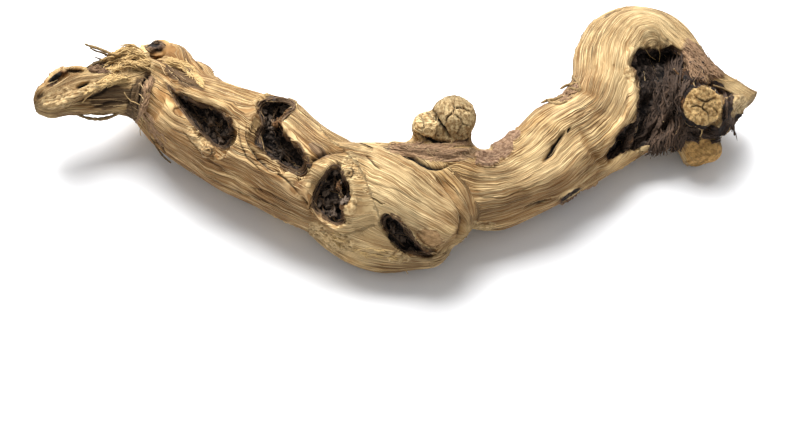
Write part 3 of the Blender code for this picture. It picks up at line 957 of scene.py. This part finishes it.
fields = {
    "shaggyBark": [
        # The nearly black strands on the deep left side of the cave are painted shade under its lip
        {"from": [(640, 50), (640, 84), (636, 118), (616, 150)], "to": [(660, 50), (656, 88), (652, 120), (640, 148)],
         "count": 90, "lift": (0.2, 2.0), "radius": (0.2, 0.5), "tone": (0.0, 0.15), "part": (0.1, 0.4),
         "tufts": 14, "wobble": 6.0},
        {"from": [(656, 52), (656, 88), (648, 122), (628, 152)], "to": [(682, 50), (678, 88), (676, 120), (664, 154)],
         "count": 220, "lift": (0.3, 5.0), "radius": (0.2, 1.0), "tone": (0.0, 0.5), "part": (0.15, 0.6),
         "tufts": 24, "wobble": 7.0},
        {"from": [(672, 74), (662, 104), (652, 130), (644, 162)], "to": [(694, 84), (680, 104), (678, 128), (674, 156)],
         "count": 150, "lift": (0.5, 5.0), "radius": (0.25, 1.1), "tone": (0.2, 1.0), "part": (0.3, 0.75),
         "tufts": 16, "wobble": 5.0},
        {"from": [(604, 160), (618, 150), (634, 144)], "to": [(612, 156), (630, 136), (640, 124)],
         "count": 70, "lift": (0.2, 2.0), "radius": (0.2, 0.5), "tone": (0.1, 0.7), "part": (0.3, 0.8),
         "tufts": 8, "wobble": 2.5},
        {"from": [(682, 110), (674, 132), (662, 152)], "to": [(690, 126), (686, 138), (680, 152)],
         "count": 90, "lift": (0.4, 3.0), "radius": (0.2, 0.5), "tone": (0.1, 0.7), "part": (0.4, 0.9),
         "tufts": 8, "wobble": 2.5},
        {"from": [(690, 128), (704, 131), (718, 132)], "to": [(684, 138), (702, 144), (722, 144)],
         "count": 90, "lift": (0.2, 2.0), "radius": (0.2, 0.5), "tone": (0.0, 0.5), "part": (0.2, 0.6),
         "tufts": 9, "wobble": 3.0},
        {"from": [(722, 88), (726, 106), (722, 128)], "to": [(732, 94), (732, 112), (734, 138)],
         "count": 60, "lift": (0.1, 1.2), "radius": (0.2, 0.5), "tone": (0.1, 0.7), "part": (0.2, 0.6),
         "tufts": 7, "wobble": 2.0},
    ],
    "armFibres": [
        {"from": [(98, 60), (114, 52), (132, 46), (148, 52)], "to": [(104, 72), (120, 68), (138, 66), (154, 70)],
         "count": 240, "lift": (0.2, 3.5), "radius": (0.2, 0.5), "tone": (0.2, 1.0), "part": (0.15, 0.5),
         "tufts": 26, "wobble": 2.5},
        {"from": [(78, 90), (94, 84), (110, 76), (134, 68)], "to": [(86, 96), (100, 92), (114, 84), (140, 78)],
         "count": 130, "lift": (0.2, 2.4), "radius": (0.2, 0.5), "tone": (0.3, 1.0), "part": (0.12, 0.4),
         "tufts": 16, "wobble": 3.0},
        {"from": [(160, 62), (178, 68), (194, 76), (206, 84)], "to": [(170, 56), (188, 62), (202, 72), (208, 80)],
         "count": 110, "lift": (0.1, 1.4), "radius": (0.2, 0.45), "tone": (0.3, 1.0), "part": (0.2, 0.6),
         "tufts": 14, "wobble": 1.5},
        {"from": [(191, 65), (198, 73), (204, 82)], "to": [(186, 72), (194, 80), (204, 88)],
         "count": 60, "lift": (0.2, 1.6), "radius": (0.2, 0.4), "tone": (0.5, 1.0), "part": (0.3, 0.7),
         "tufts": 9, "wobble": 2.0},
        {"from": [(322, 238), (350, 254), (396, 266)], "to": [(332, 232), (360, 244), (404, 256)],
         "count": 70, "lift": (0.1, 1.0), "radius": (0.2, 0.4), "tone": (0.4, 1.0), "part": (0.06, 0.18),
         "tufts": 12, "wobble": 2.0},
    ],
    "barkFibres": [
        {"from": [(672, 46), (682, 60), (690, 74), (700, 84)], "to": [(686, 38), (704, 54), (716, 68), (726, 80)],
         "count": 170, "lift": (0.1, 1.2), "radius": (0.25, 0.6), "tone": (0.0, 0.7), "part": (0.2, 0.7),
         "tufts": 20, "wobble": 2.0},
        {"from": [(86, 66), (96, 64), (108, 62)], "to": [(90, 74), (102, 72), (112, 72)],
         "count": 50, "lift": (0.2, 2.0), "radius": (0.25, 0.6), "tone": (0.0, 0.3), "part": (0.3, 0.8),
         "tufts": 7, "wobble": 2.0},
        {"from": [(152, 74), (150, 92), (146, 108), (138, 124)], "to": [(144, 82), (144, 96), (140, 110), (132, 122)],
         "count": 110, "lift": (0.3, 2.4), "radius": (0.2, 0.5), "tone": (0.3, 1.0), "part": (0.1, 0.35),
         "tufts": 18, "wobble": 4.0},
        {"from": [(138, 112), (150, 132), (162, 148)], "to": [(142, 106), (156, 126), (170, 146)],
         "count": 60, "lift": (0.1, 1.4), "radius": (0.2, 0.45), "tone": (0.3, 1.0), "part": (0.2, 0.5),
         "tufts": 9, "wobble": 2.0},
        {"from": [(386, 142), (422, 141), (470, 140)], "to": [(390, 152), (425, 161), (476, 158)],
         "count": 160, "lift": (0.0, 0.5), "radius": (0.25, 0.6), "tone": (0.2, 0.9), "part": (0.15, 0.5),
         "tufts": 30, "wobble": 1.0},
        {"from": [(556, 100), (564, 94), (574, 84)], "to": [(560, 104), (570, 98), (580, 90)],
         "count": 24, "lift": (0.1, 1.4), "radius": (0.3, 0.7), "tone": (0.2, 0.9), "part": (0.2, 0.6),
         "tufts": 5, "wobble": 2.0},
    ],
    "rotFibres": [
        {"from": [(172, 90), (200, 108), (226, 120)], "to": [(184, 106), (206, 132), (224, 146)],
         "count": 24, "lift": (0.3, 3.0), "radius": (0.2, 0.6), "tone": (0.1, 0.9), "part": (0.1, 0.4),
         "tufts": 6, "wobble": 4.0},
        {"from": [(262, 104), (262, 130), (270, 152), (300, 172)], "to": [(284, 100), (276, 122), (290, 142), (306, 164)],
         "count": 24, "lift": (0.3, 3.0), "radius": (0.2, 0.6), "tone": (0.1, 0.9), "part": (0.1, 0.3),
         "tufts": 6, "wobble": 4.0},
        {"from": [(330, 172), (318, 190), (320, 214)], "to": [(342, 172), (346, 194), (340, 220)],
         "count": 16, "lift": (0.3, 3.0), "radius": (0.2, 0.6), "tone": (0.2, 1.0), "part": (0.1, 0.4),
         "tufts": 5, "wobble": 4.0},
    ],
}
strandLook = {"points": 12, "sides": 4, "flatness": 0.55}

# Each hollow's own layers: strands that follow its edge, how many and how far in they reach, in squares
edgeLayers = {"long": (60, 7), "broken": (70, 7), "pocket": (50, 6), "slit": (60, 6), "knotHole": (24, 3)}


def shrunk(outline, inset):
    middle = outline.mean(axis=0)
    inward = middle - outline
    return outline + inward / np.linalg.norm(inward, axis=1)[:, None] * inset


def layerField(name):
    count, reach = edgeLayers[name]
    outline = roundOutline(hollows[name]["mouth"], 3.0)
    outline = np.concatenate([outline, outline[: len(outline) // 4]])
    return {"from": shrunk(outline, -0.5).tolist(), "to": shrunk(outline, reach).tolist(), "count": count,
            "lift": (0.0, 0.8), "radius": (0.2, 0.6), "tone": (0.2, 1.0), "part": (0.06, 0.25),
            "tufts": count // 3, "wobble": 1.0, "strict": True}


def fieldPaths(field):
    ends = [smoothPath([(x, y, 0, 0) for x, y in field[key]], 1.0)[:, :2] for key in ("from", "to")]
    paths, facings, tones = [], [], []
    steps = strandLook["points"]
    tufts = draw.random((field["tufts"], 4))
    for number in range(field["count"]):
        tuft = tufts[draw.integers(len(tufts))]
        share = tuft[0] + draw.normal(0, 0.05)
        part = field["part"][0] + (field["part"][1] - field["part"][0]) * tuft[1] * draw.uniform(0.6, 1.0)
        start = tuft[2] * (1 - part) + draw.normal(0, 0.03)
        t = np.clip(np.linspace(start, start + part, steps), 0, 1.04)
        sides = []
        for line in ends:
            index = t * (len(line) - 1)
            whole = np.clip(index.astype(int), 0, len(line) - 2)
            sides.append(line[whole] + (line[whole + 1] - line[whole]) * (index - whole)[:, None])
        drift = share + draw.normal(0, 0.12) * np.linspace(-1, 1, steps)
        track = sides[0] * (1 - drift[:, None]) + sides[1] * drift[:, None]
        shift = (number * 3.1, tuft[3] * 50)
        wave = np.array([noise.noise_vector((shift[0], k * 0.45, shift[1])) for k in range(steps)])[:, :2]
        track = track + wave * field["wobble"] * (0.4 + part)
        if np.hypot(*(track - stubFace["middle"]).T).min() < stubFace["radius"]:
            continue
        bow = np.sin(np.linspace(0, math.pi * draw.uniform(0.5, 1.0), steps))
        lift = (draw.uniform(*field["lift"]) * bow - 0.25) * 0.001
        laid = laidPath(bodySkin, track, lift, strict=field.get("strict", False))
        if laid is None:
            continue
        radius = draw.uniform(*field["radius"]) * 0.001
        taper = np.sin(np.linspace(0.5, math.pi - 0.12, steps)) ** 0.6
        path = np.column_stack([laid, radius * taper])
        steady = np.linalg.norm(np.diff(laid, axis=0), axis=1).max() < 0.012
        if steady and laid[:, 2].min() > 0.001:
            paths.append(path)
            facings.append(np.tile(viewBack + draw.normal(0, 0.35, 3), (steps, 1)))
            toneNow = 0.6 * tuft[3] + 0.4 * draw.random()
            tones.append(field["tone"][0] + (field["tone"][1] - field["tone"][0]) * toneNow)
    return paths, facings, tones


def makeFibres(name):
    paths, facings, tones = [], [], []
    for field in fields[name]:
        for made, kept in zip(fieldPaths(field), (paths, facings, tones)):
            kept += made
    mesh = tubesMesh(name, paths, strandLook["sides"], strandLook["flatness"], facings, tones)
    return newPiece(name, mesh)


fields["rotFibres"] += [layerField(name) for name in edgeLayers]
fibres = {name: makeFibres(name) for name in fields}
print("fibres made:", {name: len(piece.data.polygons) for name, piece in fibres.items()})


# Splinters that lift off the skin along the grain, on every side

splinterLook = {"count": 520, "points": 9, "step": (0.0008, 0.0024), "lift": (0.0, 0.0012), "radius": (0.14, 0.34)}


def makeSplinters():
    points, normals = coordinates(body.data), normalsOf(body.data)
    chosen = draw.choice(len(points), splinterLook["count"], replace=False)
    chosen = chosen[points[chosen, 2] > 0.004]
    spots, steps = points[chosen].copy(), draw.uniform(*splinterLook["step"], len(chosen))
    lifts = draw.uniform(*splinterLook["lift"], len(chosen))
    rows = []
    for number in range(splinterLook["points"]):
        raised = []
        share = number / (splinterLook["points"] - 1)
        for index, spot in enumerate(spots):
            near, normal, _, _ = bodySkin.find_nearest(Vector(spot))
            spots[index] = near
            raised.append(np.array(near) + np.array(normal) * (lifts[index] * share**2 - 0.00008))
        rows.append(raised)
        direction = grainOf(spots, limbPaths)["direction"]
        direction = direction + draw.normal(0, 0.08, direction.shape)
        spots += direction * steps[:, None]
    rows = np.array(rows).transpose(1, 0, 2)
    taper = np.sin(np.linspace(0.3, math.pi - 0.05, splinterLook["points"])) ** 0.7
    paths, facings = [], []
    for index, row in enumerate(rows):
        if np.linalg.norm(np.diff(row, axis=0), axis=1).max() < 0.005 and row[:, 2].min() > 0.001:
            paths.append(np.column_stack([row, draw.uniform(*splinterLook["radius"]) * 0.001 * taper]))
            facings.append(np.tile(normals[chosen[index]], (len(row), 1)))
    mesh = tubesMesh("splinters", paths, strandLook["sides"], 0.6, facings, draw.random(len(paths)))
    return newPiece("splinters", mesh)


splinters = makeSplinters()
print("splinters made:", len(splinters.data.polygons), "faces")


# Twigs, hairs and strips that stand off the wood: squares along each, radius and lift in squares, tone

looseBits = {
    "twigA": ([(85, 44), (90, 46), (97, 48), (105, 51), (114, 55)], 1.7, 5, 0.35),
    "twigB": ([(90, 48), (96, 51), (103, 53), (112, 58)], 1.1, 4, 0.2),
    "twigC": ([(95, 57), (100, 59), (106, 61), (114, 64)], 1.0, 3, 0.1),
    "twigD": ([(87, 68), (92, 65), (99, 62), (107, 62)], 1.8, 2, 0.0),
    "twigE": ([(94, 70), (101, 67), (108, 65), (114, 66)], 1.8, 2, 0.05),
    "twigF": ([(84, 44), (87, 43), (91, 46)], 0.8, 6, 0.3),
    "twigG": ([(98, 45), (103, 49), (109, 52)], 0.7, 5, 0.5),
    "strip": ([(73, 112), (79, 115), (88, 118), (99, 119), (110, 117), (119, 113), (127, 110)], 1.8, 0, 0.25),
    "stripB": ([(84, 112), (94, 114), (106, 114), (116, 111)], 1.2, 1, 0.5),
    "hairNeck": ([(130, 101), (134, 102), (140, 105)], 0.45, 6, 1.0),
    "hairNeckB": ([(124, 92), (127, 97), (131, 101)], 0.45, 6, 0.9),
    "hairLow": ([(143, 116), (142, 123), (140, 130), (141, 136)], 0.4, 3, 0.6),
    "hairLowB": ([(146, 120), (147, 128), (149, 134)], 0.4, 3, 0.5),
    "armSplinter": ([(82, 103), (86, 98), (91, 94), (94, 92)], 0.8, 3, 0.9),
    "lowSpike": ([(150, 136), (156, 146), (163, 156), (171, 163)], 1.0, 1, 0.05),
    "lowSpikeB": ([(154, 146), (160, 154), (166, 160)], 0.8, 2, 0.3),
    "blackHair": ([(343, 131), (347, 135), (352, 140)], 0.7, 4, 0.0),
    "blackHairB": ([(360, 143), (366, 145), (373, 148)], 0.7, 4, 0.0),
    "headHair": ([(719, 79), (727, 81), (735, 80), (740, 77)], 0.45, 3, 1.0),
    "humpHair": ([(196, 61), (199, 65), (203, 69)], 0.5, 3, 0.1),
    "stubHair": ([(701, 127), (702, 132), (700, 137)], 0.45, 3, 1.0),
    "stubHairB": ([(672, 120), (677, 126), (676, 134)], 0.45, 5, 1.0),
    "stubHairC": ([(668, 118), (672, 124), (680, 127)], 0.4, 5, 0.9),
    "caveHair": ([(658, 48), (660, 54), (659, 62)], 0.45, 4, 1.0),
    "caveHairB": ([(646, 50), (650, 56), (656, 60)], 0.4, 4, 0.9),
    "curlFlake": ([(566, 91), (571, 88), (577, 90), (581, 88)], 1.6, 3, 0.4),
    "curlFlakeB": ([(541, 103), (548, 100), (556, 99), (562, 96)], 1.6, 2, 0.4),
    "curlFlakeC": ([(570, 86), (574, 83), (579, 84)], 1.2, 3, 0.5),
    "curlFlakeD": ([(573, 77), (577, 81), (580, 87), (579, 92)], 1.7, 3, 0.3),
    "curlFlakeE": ([(546, 99), (552, 103), (560, 104), (567, 101)], 1.6, 2, 0.35),
    "curlFlakeF": ([(560, 89), (567, 85), (574, 84)], 1.5, 3, 0.4),
    "plankEdge": ([(713, 85), (722, 88), (731, 92), (738, 96)], 1.0, 2, 0.2),
    "bellyHair": ([(404, 268), (406, 271), (408, 274)], 0.4, 0, 0.8),
}


def makeLooseBits():
    paths, tones = [], []
    for squares, radius, lift, tone in looseBits.values():
        track = smoothPath([(x, y, 0, 0) for x, y in squares], 1.5)[:, :2]
        laid = laidPath(bodySkin, track, (lift - radius * 0.5) * square, evenings=6)
        if laid is None:
            continue
        knobbly = 1 + 0.35 * np.array([noise.noise((x / 3, y / 3, 5)) for x, y in track])
        taper = np.sin(np.linspace(0.35, math.pi - 0.5, len(laid))) ** 0.5
        paths.append(np.column_stack([laid, radius * square * knobbly * taper]))
        tones.append(tone)
    mesh = tubesMesh("looseBits", paths, 7, 0.7, None, tones)
    return newPiece("looseBits", mesh)


looseWood = makeLooseBits()
print("loose bits made:", len(looseWood.data.polygons), "faces")


# Crumbs of rotten wood that lie in the hollows

crumbLook = {
    "counts": {"long": 70, "broken": 70, "pocket": 70, "slit": 16, "knotHole": 3},
    "radius": (0.4, 2.2),      # in millimetres
    "rough": 1.6,
    "lumps": {                 # square, radius in squares and tone of the larger ones
        "long": [(213, 122, 4.5, 0.8), (206, 132, 3.5, 0.7), (218, 130, 3.5, 1.0), (221, 142, 4.5, 0.9),
                 (214, 138, 3, 0.5), (227, 133, 3, 0.8), (186, 98, 2.5, 0.5)],
        "broken": [(272, 118, 4, 0.5), (268, 127, 4, 0.4), (284, 108, 4, 0.3), (262, 112, 3, 0.6), (284, 152, 4, 0.3)],
        "pocket": [(326, 192, 5, 0.9), (321, 202, 4.5, 0.7), (333, 187, 3.5, 0.8), (330, 204, 4, 0.6),
                   (345, 203, 4, 0.8), (336, 171, 3, 0.5)],
        "slit": [(393, 228, 3.5, 0.5), (402, 240, 3.5, 0.6), (411, 249, 3, 0.5)],
    },
}


def addCrumb(bm, tone, spotXY, radius, squash, shade, seed):
    spot, normal = castOn(bodySkin, *spotXY)
    if spot is None:
        return
    ball = bmesh.ops.create_icosphere(bm, subdivisions=3, radius=radius)
    for vert in ball["verts"]:
        direction = vert.co / radius
        bump = noise.noise(direction * 1.7 + Vector((seed, 3, 0))) + 0.5 * noise.noise(direction * 4 + Vector((0, seed, 5)))
        vert.co *= 1 + crumbLook["rough"] * bump
        vert.co = Vector(spot) + Vector(np.array(vert.co) * squash) + Vector(normal) * radius * 0.4
        vert[tone] = shade


def makeCrumbs():
    bm = bmesh.new()
    tone = bm.verts.layers.float.new("tone")
    for name, count in crumbLook["counts"].items():
        mouth = np.array(hollows[name]["mouth"], dtype=float)
        for number in range(count):
            spotXY = draw.uniform(mouth.min(axis=0), mouth.max(axis=0))
            small, large = crumbLook["radius"]
            radius = (small + (large - small) * draw.random() ** 2) * 0.001
            shade = draw.random()
            squash = draw.uniform(0.25, 1.1, 3)
            if insideOf(spotXY[None], mouth)[0] < 2 + radius / square:
                continue
            addCrumb(bm, tone, spotXY, radius, squash, shade, number)
    for lumps in crumbLook["lumps"].values():
        for x, y, radius, shade in lumps:
            addCrumb(bm, tone, (x, y), radius * square, draw.uniform(0.6, 1.0, 3), shade, x)
    mesh = bpy.data.meshes.new("crumbs")
    bm.to_mesh(mesh)
    bm.free()
    mesh.shade_smooth()
    return newPiece("crumbs", mesh)


crumbs = makeCrumbs()
print("crumbs made:", len(crumbs.data.polygons), "faces")


# Node helpers

def newMaterial(name, roughness):
    material = bpy.data.materials.new(name)
    material.use_nodes = True
    shader = material.node_tree.nodes["Principled BSDF"]
    shader.inputs["Roughness"].default_value = roughness
    shader.inputs["Specular IOR Level"].default_value = 0.25
    return material, material.node_tree, shader


def put(tree, kind, sockets=(), **settings):
    made = tree.nodes.new("ShaderNode" + kind)
    for name, value in settings.items():
        setattr(made, name, value)
    for name, value in dict(sockets).items():
        if isinstance(value, bpy.types.NodeSocket):
            tree.links.new(value, made.inputs[name])
        else:
            made.inputs[name].default_value = value
    return made


def attributeOf(tree, name, output="Fac"):
    return put(tree, "Attribute", attribute_name=name).outputs[output]


def blendColours(tree, share, first, second, way="MIX"):
    made = put(tree, "Mix", data_type="RGBA", blend_type=way)
    for index, value in ((0, share), (6, first), (7, second)):
        if isinstance(value, bpy.types.NodeSocket):
            tree.links.new(value, made.inputs[index])
        else:
            made.inputs[index].default_value = value
    return made.outputs[2]


def reckon(tree, way, first, second=0.0, clamp=False):
    return put(tree, "Math", {0: first, 1: second}, operation=way, use_clamp=clamp).outputs[0]


def between(tree, value, low, high, most=1.0):
    return put(tree, "MapRange", {"Value": value, "From Min": low, "From Max": high, "To Max": most}).outputs[0]


def speckle(tree, vector, scale, detail=3.0, roughness=0.6):
    sockets = {"Vector": vector, "Scale": scale, "Detail": detail, "Roughness": roughness}
    return put(tree, "TexNoise", sockets).outputs[0]


def stretched(tree, vector, amounts):
    return put(tree, "VectorMath", {0: vector, 1: amounts}, operation="MULTIPLY").outputs[0]


def threads(tree, value, width):
    # Thin lines where smooth noise crosses its middle
    apart = reckon(tree, "ABSOLUTE", reckon(tree, "SUBTRACT", value, 0.5))
    return between(tree, apart, width, 0.0)


woodLook = {
    "pale": screenColour(245, 217, 163),
    "tan": screenColour(232, 196, 134),
    # brown also paints shade in the valleys
    "brown": screenColour(146, 104, 56),
    # deep also paints shade in creases and hollows
    "deep": screenColour(84, 54, 26),
    "line": screenColour(98, 64, 30),
    # black also paints shade in cracks and hollows
    "black": screenColour(20, 16, 15),
    "rot": screenColour(96, 82, 72),
    "wall": screenColour(122, 90, 58),
    "bark": screenColour(92, 68, 48),
    "barkPale": screenColour(166, 138, 106),
    "flake": screenColour(112, 82, 62),
    "flakePale": screenColour(166, 134, 106),
    "shade": screenColour(70, 50, 34),
    "shadePale": screenColour(106, 82, 56),
    "shag": screenColour(62, 47, 39),
    "straw": screenColour(242, 214, 160),
    "strawDark": screenColour(166, 130, 84),
    "disc": screenColour(246, 206, 140),
    "discDark": screenColour(170, 130, 78),
    "stubLow": screenColour(238, 190, 118),
    "stubLowDark": screenColour(186, 138, 78),
    "scar": screenColour(206, 166, 118),
    "scarDark": screenColour(172, 134, 90),
    "rust": screenColour(172, 126, 82),
}


def vineWood():
    material, tree, shader = newMaterial("weatheredVine", 0.8)
    look = woodLook
    grain = attributeOf(tree, "grain", "Vector")
    spot = put(tree, "TexCoord").outputs["Object"]
    streaks = speckle(tree, stretched(tree, grain, (12, 540, 540)), 1.0, 5, 0.7)
    seamNoise = speckle(tree, stretched(tree, grain, (13, 440, 440)), 1.0, 2.5)
    threadNoise = speckle(tree, stretched(tree, grain, (17, 860, 860)), 1.0, 2)
    hairNoise = speckle(tree, stretched(tree, grain, (40, 1500, 1500)), 1.0, 1.5)
    fineNoise = speckle(tree, stretched(tree, grain, (60, 2200, 2200)), 1.0, 2)
    bands = speckle(tree, stretched(tree, grain, (9, 150, 150)), 1.0, 2)
    blotches = speckle(tree, spot, 34.0, 4)
    mixed = reckon(tree, "ADD", reckon(tree, "MULTIPLY", streaks, 0.2), reckon(tree, "MULTIPLY", bands, 0.25))
    mixed = reckon(tree, "ADD", mixed, reckon(tree, "MULTIPLY", blotches, 0.55))
    colour = blendColours(tree, between(tree, mixed, 0.41, 0.57), look["tan"], look["pale"])
    colour = blendColours(tree, between(tree, mixed, 0.46, 0.38, 0.8), colour, look["brown"])
    rusty = speckle(tree, spot, 21.0, 3)
    colour = blendColours(tree, between(tree, rusty, 0.53, 0.68, 0.55), colour, look["rust"])
    colour = blendColours(tree, between(tree, attributeOf(tree, "worn"), 0.0, 1.0, 0.4), colour, look["rust"])
    palest = attributeOf(tree, "pale")
    colour = blendColours(tree, between(tree, palest, 0.0, 1.0, 0.7), colour, look["pale"])
    lineShare = between(tree, speckle(tree, spot, 60.0, 2), 0.3, 0.58, 1.0)
    lineShare = reckon(tree, "MAXIMUM", lineShare, attributeOf(tree, "worn"))
    lines = reckon(tree, "MULTIPLY", threads(tree, threadNoise, 0.13), lineShare)
    seamShare = between(tree, speckle(tree, spot, 45.0, 2), 0.38, 0.54)
    seams = reckon(tree, "MULTIPLY", threads(tree, seamNoise, 0.06), seamShare)
    seams = reckon(tree, "MULTIPLY", seams, between(tree, palest, 1.6, 0.0, 1.0))
    lines = reckon(tree, "MULTIPLY", lines, between(tree, palest, 2.5, 0.0, 1.0))
    hairs = reckon(tree, "MULTIPLY", threads(tree, hairNoise, 0.14), 0.6)
    colour = blendColours(tree, lines, colour, look["line"])
    colour = blendColours(tree, seams, colour, look["deep"])
    colour = blendColours(tree, hairs, colour, look["brown"])
    colour = blendColours(tree, between(tree, fineNoise, 0.48, 0.36, 0.45), colour, look["brown"])
    colour = blendColours(tree, between(tree, fineNoise, 0.52, 0.66, 0.4), colour, look["pale"])
    crest = attributeOf(tree, "crest")
    # Painted shade in creases, and pale crests that are partly wear and partly painted highlight
    colour = blendColours(tree, between(tree, crest, -0.3, -1.0, 0.45), colour, look["deep"])
    colour = blendColours(tree, between(tree, crest, 0.15, 0.9, 0.35), colour, look["pale"])
    # Painted shade darkens the broad hollows of the skin
    dipShade = attributeOf(tree, "dipShade")
    colour = blendColours(tree, between(tree, dipShade, 0.2, 1.0, 0.75), colour, look["deep"])
    # Painted brown shade in the valleys where limbs meet
    colour = blendColours(tree, between(tree, attributeOf(tree, "valleyShade"), 0.0, 1.0, 0.6), colour, look["brown"])
    mottle = between(tree, speckle(tree, spot, 520.0, 4), 0.4, 0.6)
    flaky = between(tree, speckle(tree, stretched(tree, grain, (90, 500, 500)), 1.0, 5), 0.4, 0.62)
    combed = between(tree, speckle(tree, stretched(tree, grain, (30, 700, 700)), 1.0, 3), 0.38, 0.62)
    # Painted shade in the creases of each patch
    dark = between(tree, crest, -0.1, -0.8, 0.8)
    for mask, share, low, high, most in (
        ("warty", mottle, "strawDark", "pale", 0.5), ("straw", mottle, "strawDark", "straw", 0.9),
        ("stubLow", mottle, "stubLowDark", "stubLow", 0.95), ("shade", combed, "shade", "shadePale", 0.85),
        ("bark", combed, "bark", "barkPale", 0.85), ("flake", mottle, "flake", "flakePale", 0.95),
        ("scar", mottle, "scarDark", "scar", 0.9),
        ("shag", flaky, "black", "shag", 1.0), ("disc", mottle, "discDark", "disc", 1.0),
    ):
        tone = blendColours(tree, share, look[low], look[high])
        tone = blendColours(tree, dark, tone, look["deep"])
        colour = blendColours(tree, between(tree, attributeOf(tree, mask), 0.2, 0.8, most), colour, tone)
    decay = between(tree, speckle(tree, spot, 420.0, 5), 0.42, 0.7)
    # Inside the hollows: the rotten wood's own colour, with painted shade that turns it black in creases and deeper
    # below the rim
    rotAndShade = blendColours(tree, between(tree, crest, 0.0, 0.8), look["black"], look["rot"])
    rotAndShade = blendColours(tree, reckon(tree, "MULTIPLY", decay, 0.5), rotAndShade, look["rot"])
    wallTone = blendColours(tree, decay, look["deep"], look["wall"])
    rotAndShade = blendColours(tree, between(tree, attributeOf(tree, "below"), 0.1, 0.55), wallTone, rotAndShade)
    colour = blendColours(tree, attributeOf(tree, "sunk"), colour, rotAndShade)
    # Painted shade inside the cracks, black
    colour = blendColours(tree, attributeOf(tree, "crackShade"), colour, look["black"])
    tree.links.new(colour, shader.inputs["Base Color"])
    relief = reckon(tree, "ADD", reckon(tree, "MULTIPLY", streaks, 0.35), reckon(tree, "MULTIPLY", fineNoise, 0.4))
    relief = reckon(tree, "SUBTRACT", relief, reckon(tree, "MULTIPLY", lines, 0.5))
    relief = reckon(tree, "SUBTRACT", relief, seams)
    relief = reckon(tree, "SUBTRACT", relief, reckon(tree, "MULTIPLY", hairs, 0.5))
    bump = put(tree, "Bump", {"Height": relief, "Strength": 0.9, "Distance": 0.0012})
    tree.links.new(bump.outputs[0], shader.inputs["Normal"])
    return material


def fibreStuff(name, dark, light, grit=700.0):
    # Strands that differ in tone and are speckled along their length
    material, tree, shader = newMaterial(name, 0.85)
    tone = attributeOf(tree, "tone")
    spot = put(tree, "TexCoord").outputs["Object"]
    mottle = between(tree, speckle(tree, spot, grit, 3), 0.35, 0.65)
    share = reckon(tree, "ADD", reckon(tree, "MULTIPLY", tone, 0.75), reckon(tree, "MULTIPLY", mottle, 0.3), True)
    tree.links.new(blendColours(tree, share, dark, light), shader.inputs["Base Color"])
    bump = put(tree, "Bump", {"Height": mottle, "Strength": 0.5, "Distance": 0.0004})
    tree.links.new(bump.outputs[0], shader.inputs["Normal"])
    return material


def finish(piece, material):
    piece.data.materials.append(material)
    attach(piece, "root")


finish(body, vineWood())
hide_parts("driftwood")
# The darkest shaggy bark strands are painted shade deep in the cave
finish(fibres["shaggyBark"], fibreStuff("shaggyBark", screenColour(18, 15, 16), screenColour(108, 86, 69)))
finish(fibres["armFibres"], fibreStuff("paleFibre", screenColour(112, 80, 46), screenColour(222, 190, 132)))
finish(fibres["barkFibres"], fibreStuff("barkFibre", screenColour(74, 52, 38), screenColour(178, 144, 110)))
finish(fibres["rotFibres"], fibreStuff("rotFibre", screenColour(36, 28, 24), screenColour(132, 106, 80)))
finish(splinters, fibreStuff("splinterWood", screenColour(132, 100, 64), screenColour(218, 188, 140)))
finish(looseWood, fibreStuff("looseBark", screenColour(36, 28, 24), screenColour(206, 172, 118)))
finish(crumbs, fibreStuff("rottenWood", screenColour(26, 22, 21), screenColour(132, 114, 98)))
print("materials made")


# Floor, light and camera

studio = {
    "floorColour": (0.9, 0.905, 0.92, 1),
    "floorHalf": 3.0,
    "skyStrength": 0.5,
    "keyPower": 73,
    "keyPlace": (-0.2, 0.98, 1.45),
    "keySize": 1.3,
}


def makeFloor():
    bm = bmesh.new()
    bmesh.ops.create_grid(bm, x_segments=2, y_segments=2, size=studio["floorHalf"])
    mesh = bpy.data.meshes.new("floor")
    bm.to_mesh(mesh)
    bm.free()
    floor = newPiece("floor", mesh)
    material, tree, shader = newMaterial("paleFloor", 0.9)
    shader.inputs["Base Color"].default_value = studio["floorColour"]
    mesh.materials.append(material)
    return floor


def addLamp(name, spot, power, size):
    lamp = bpy.data.lights.new(name, "AREA")
    lamp.energy = power
    lamp.size = size
    holder = bpy.data.objects.new(name, lamp)
    holder.location = spot
    holder.rotation_mode = "QUATERNION"
    holder.rotation_quaternion = (-Vector(spot)).to_track_quat("-Z", "Y")
    bpy.context.scene.collection.objects.link(holder)


def addCamera():
    data = bpy.data.cameras.new("camera")
    data.lens = layout["lens"]
    data.sensor_width = layout["sensor"]
    camera = bpy.data.objects.new("camera", data)
    camera.location = eye
    camera.rotation_mode = "QUATERNION"
    camera.rotation_quaternion = (-Vector(viewBack)).to_track_quat("-Z", "Y")
    bpy.context.scene.collection.objects.link(camera)
    bpy.context.scene.camera = camera


makeFloor()
addLamp("key", studio["keyPlace"], studio["keyPower"], studio["keySize"])
addCamera()
world = bpy.data.worlds.new("soft")
world.use_nodes = True
world.node_tree.nodes["Background"].inputs["Color"].default_value = (1, 1, 1, 1)
world.node_tree.nodes["Background"].inputs["Strength"].default_value = studio["skyStrength"]
bpy.context.scene.world = world
bpy.context.scene.view_settings.view_transform = "Standard"
bpy.data.objects.remove(plainBody)
print("studio ready")
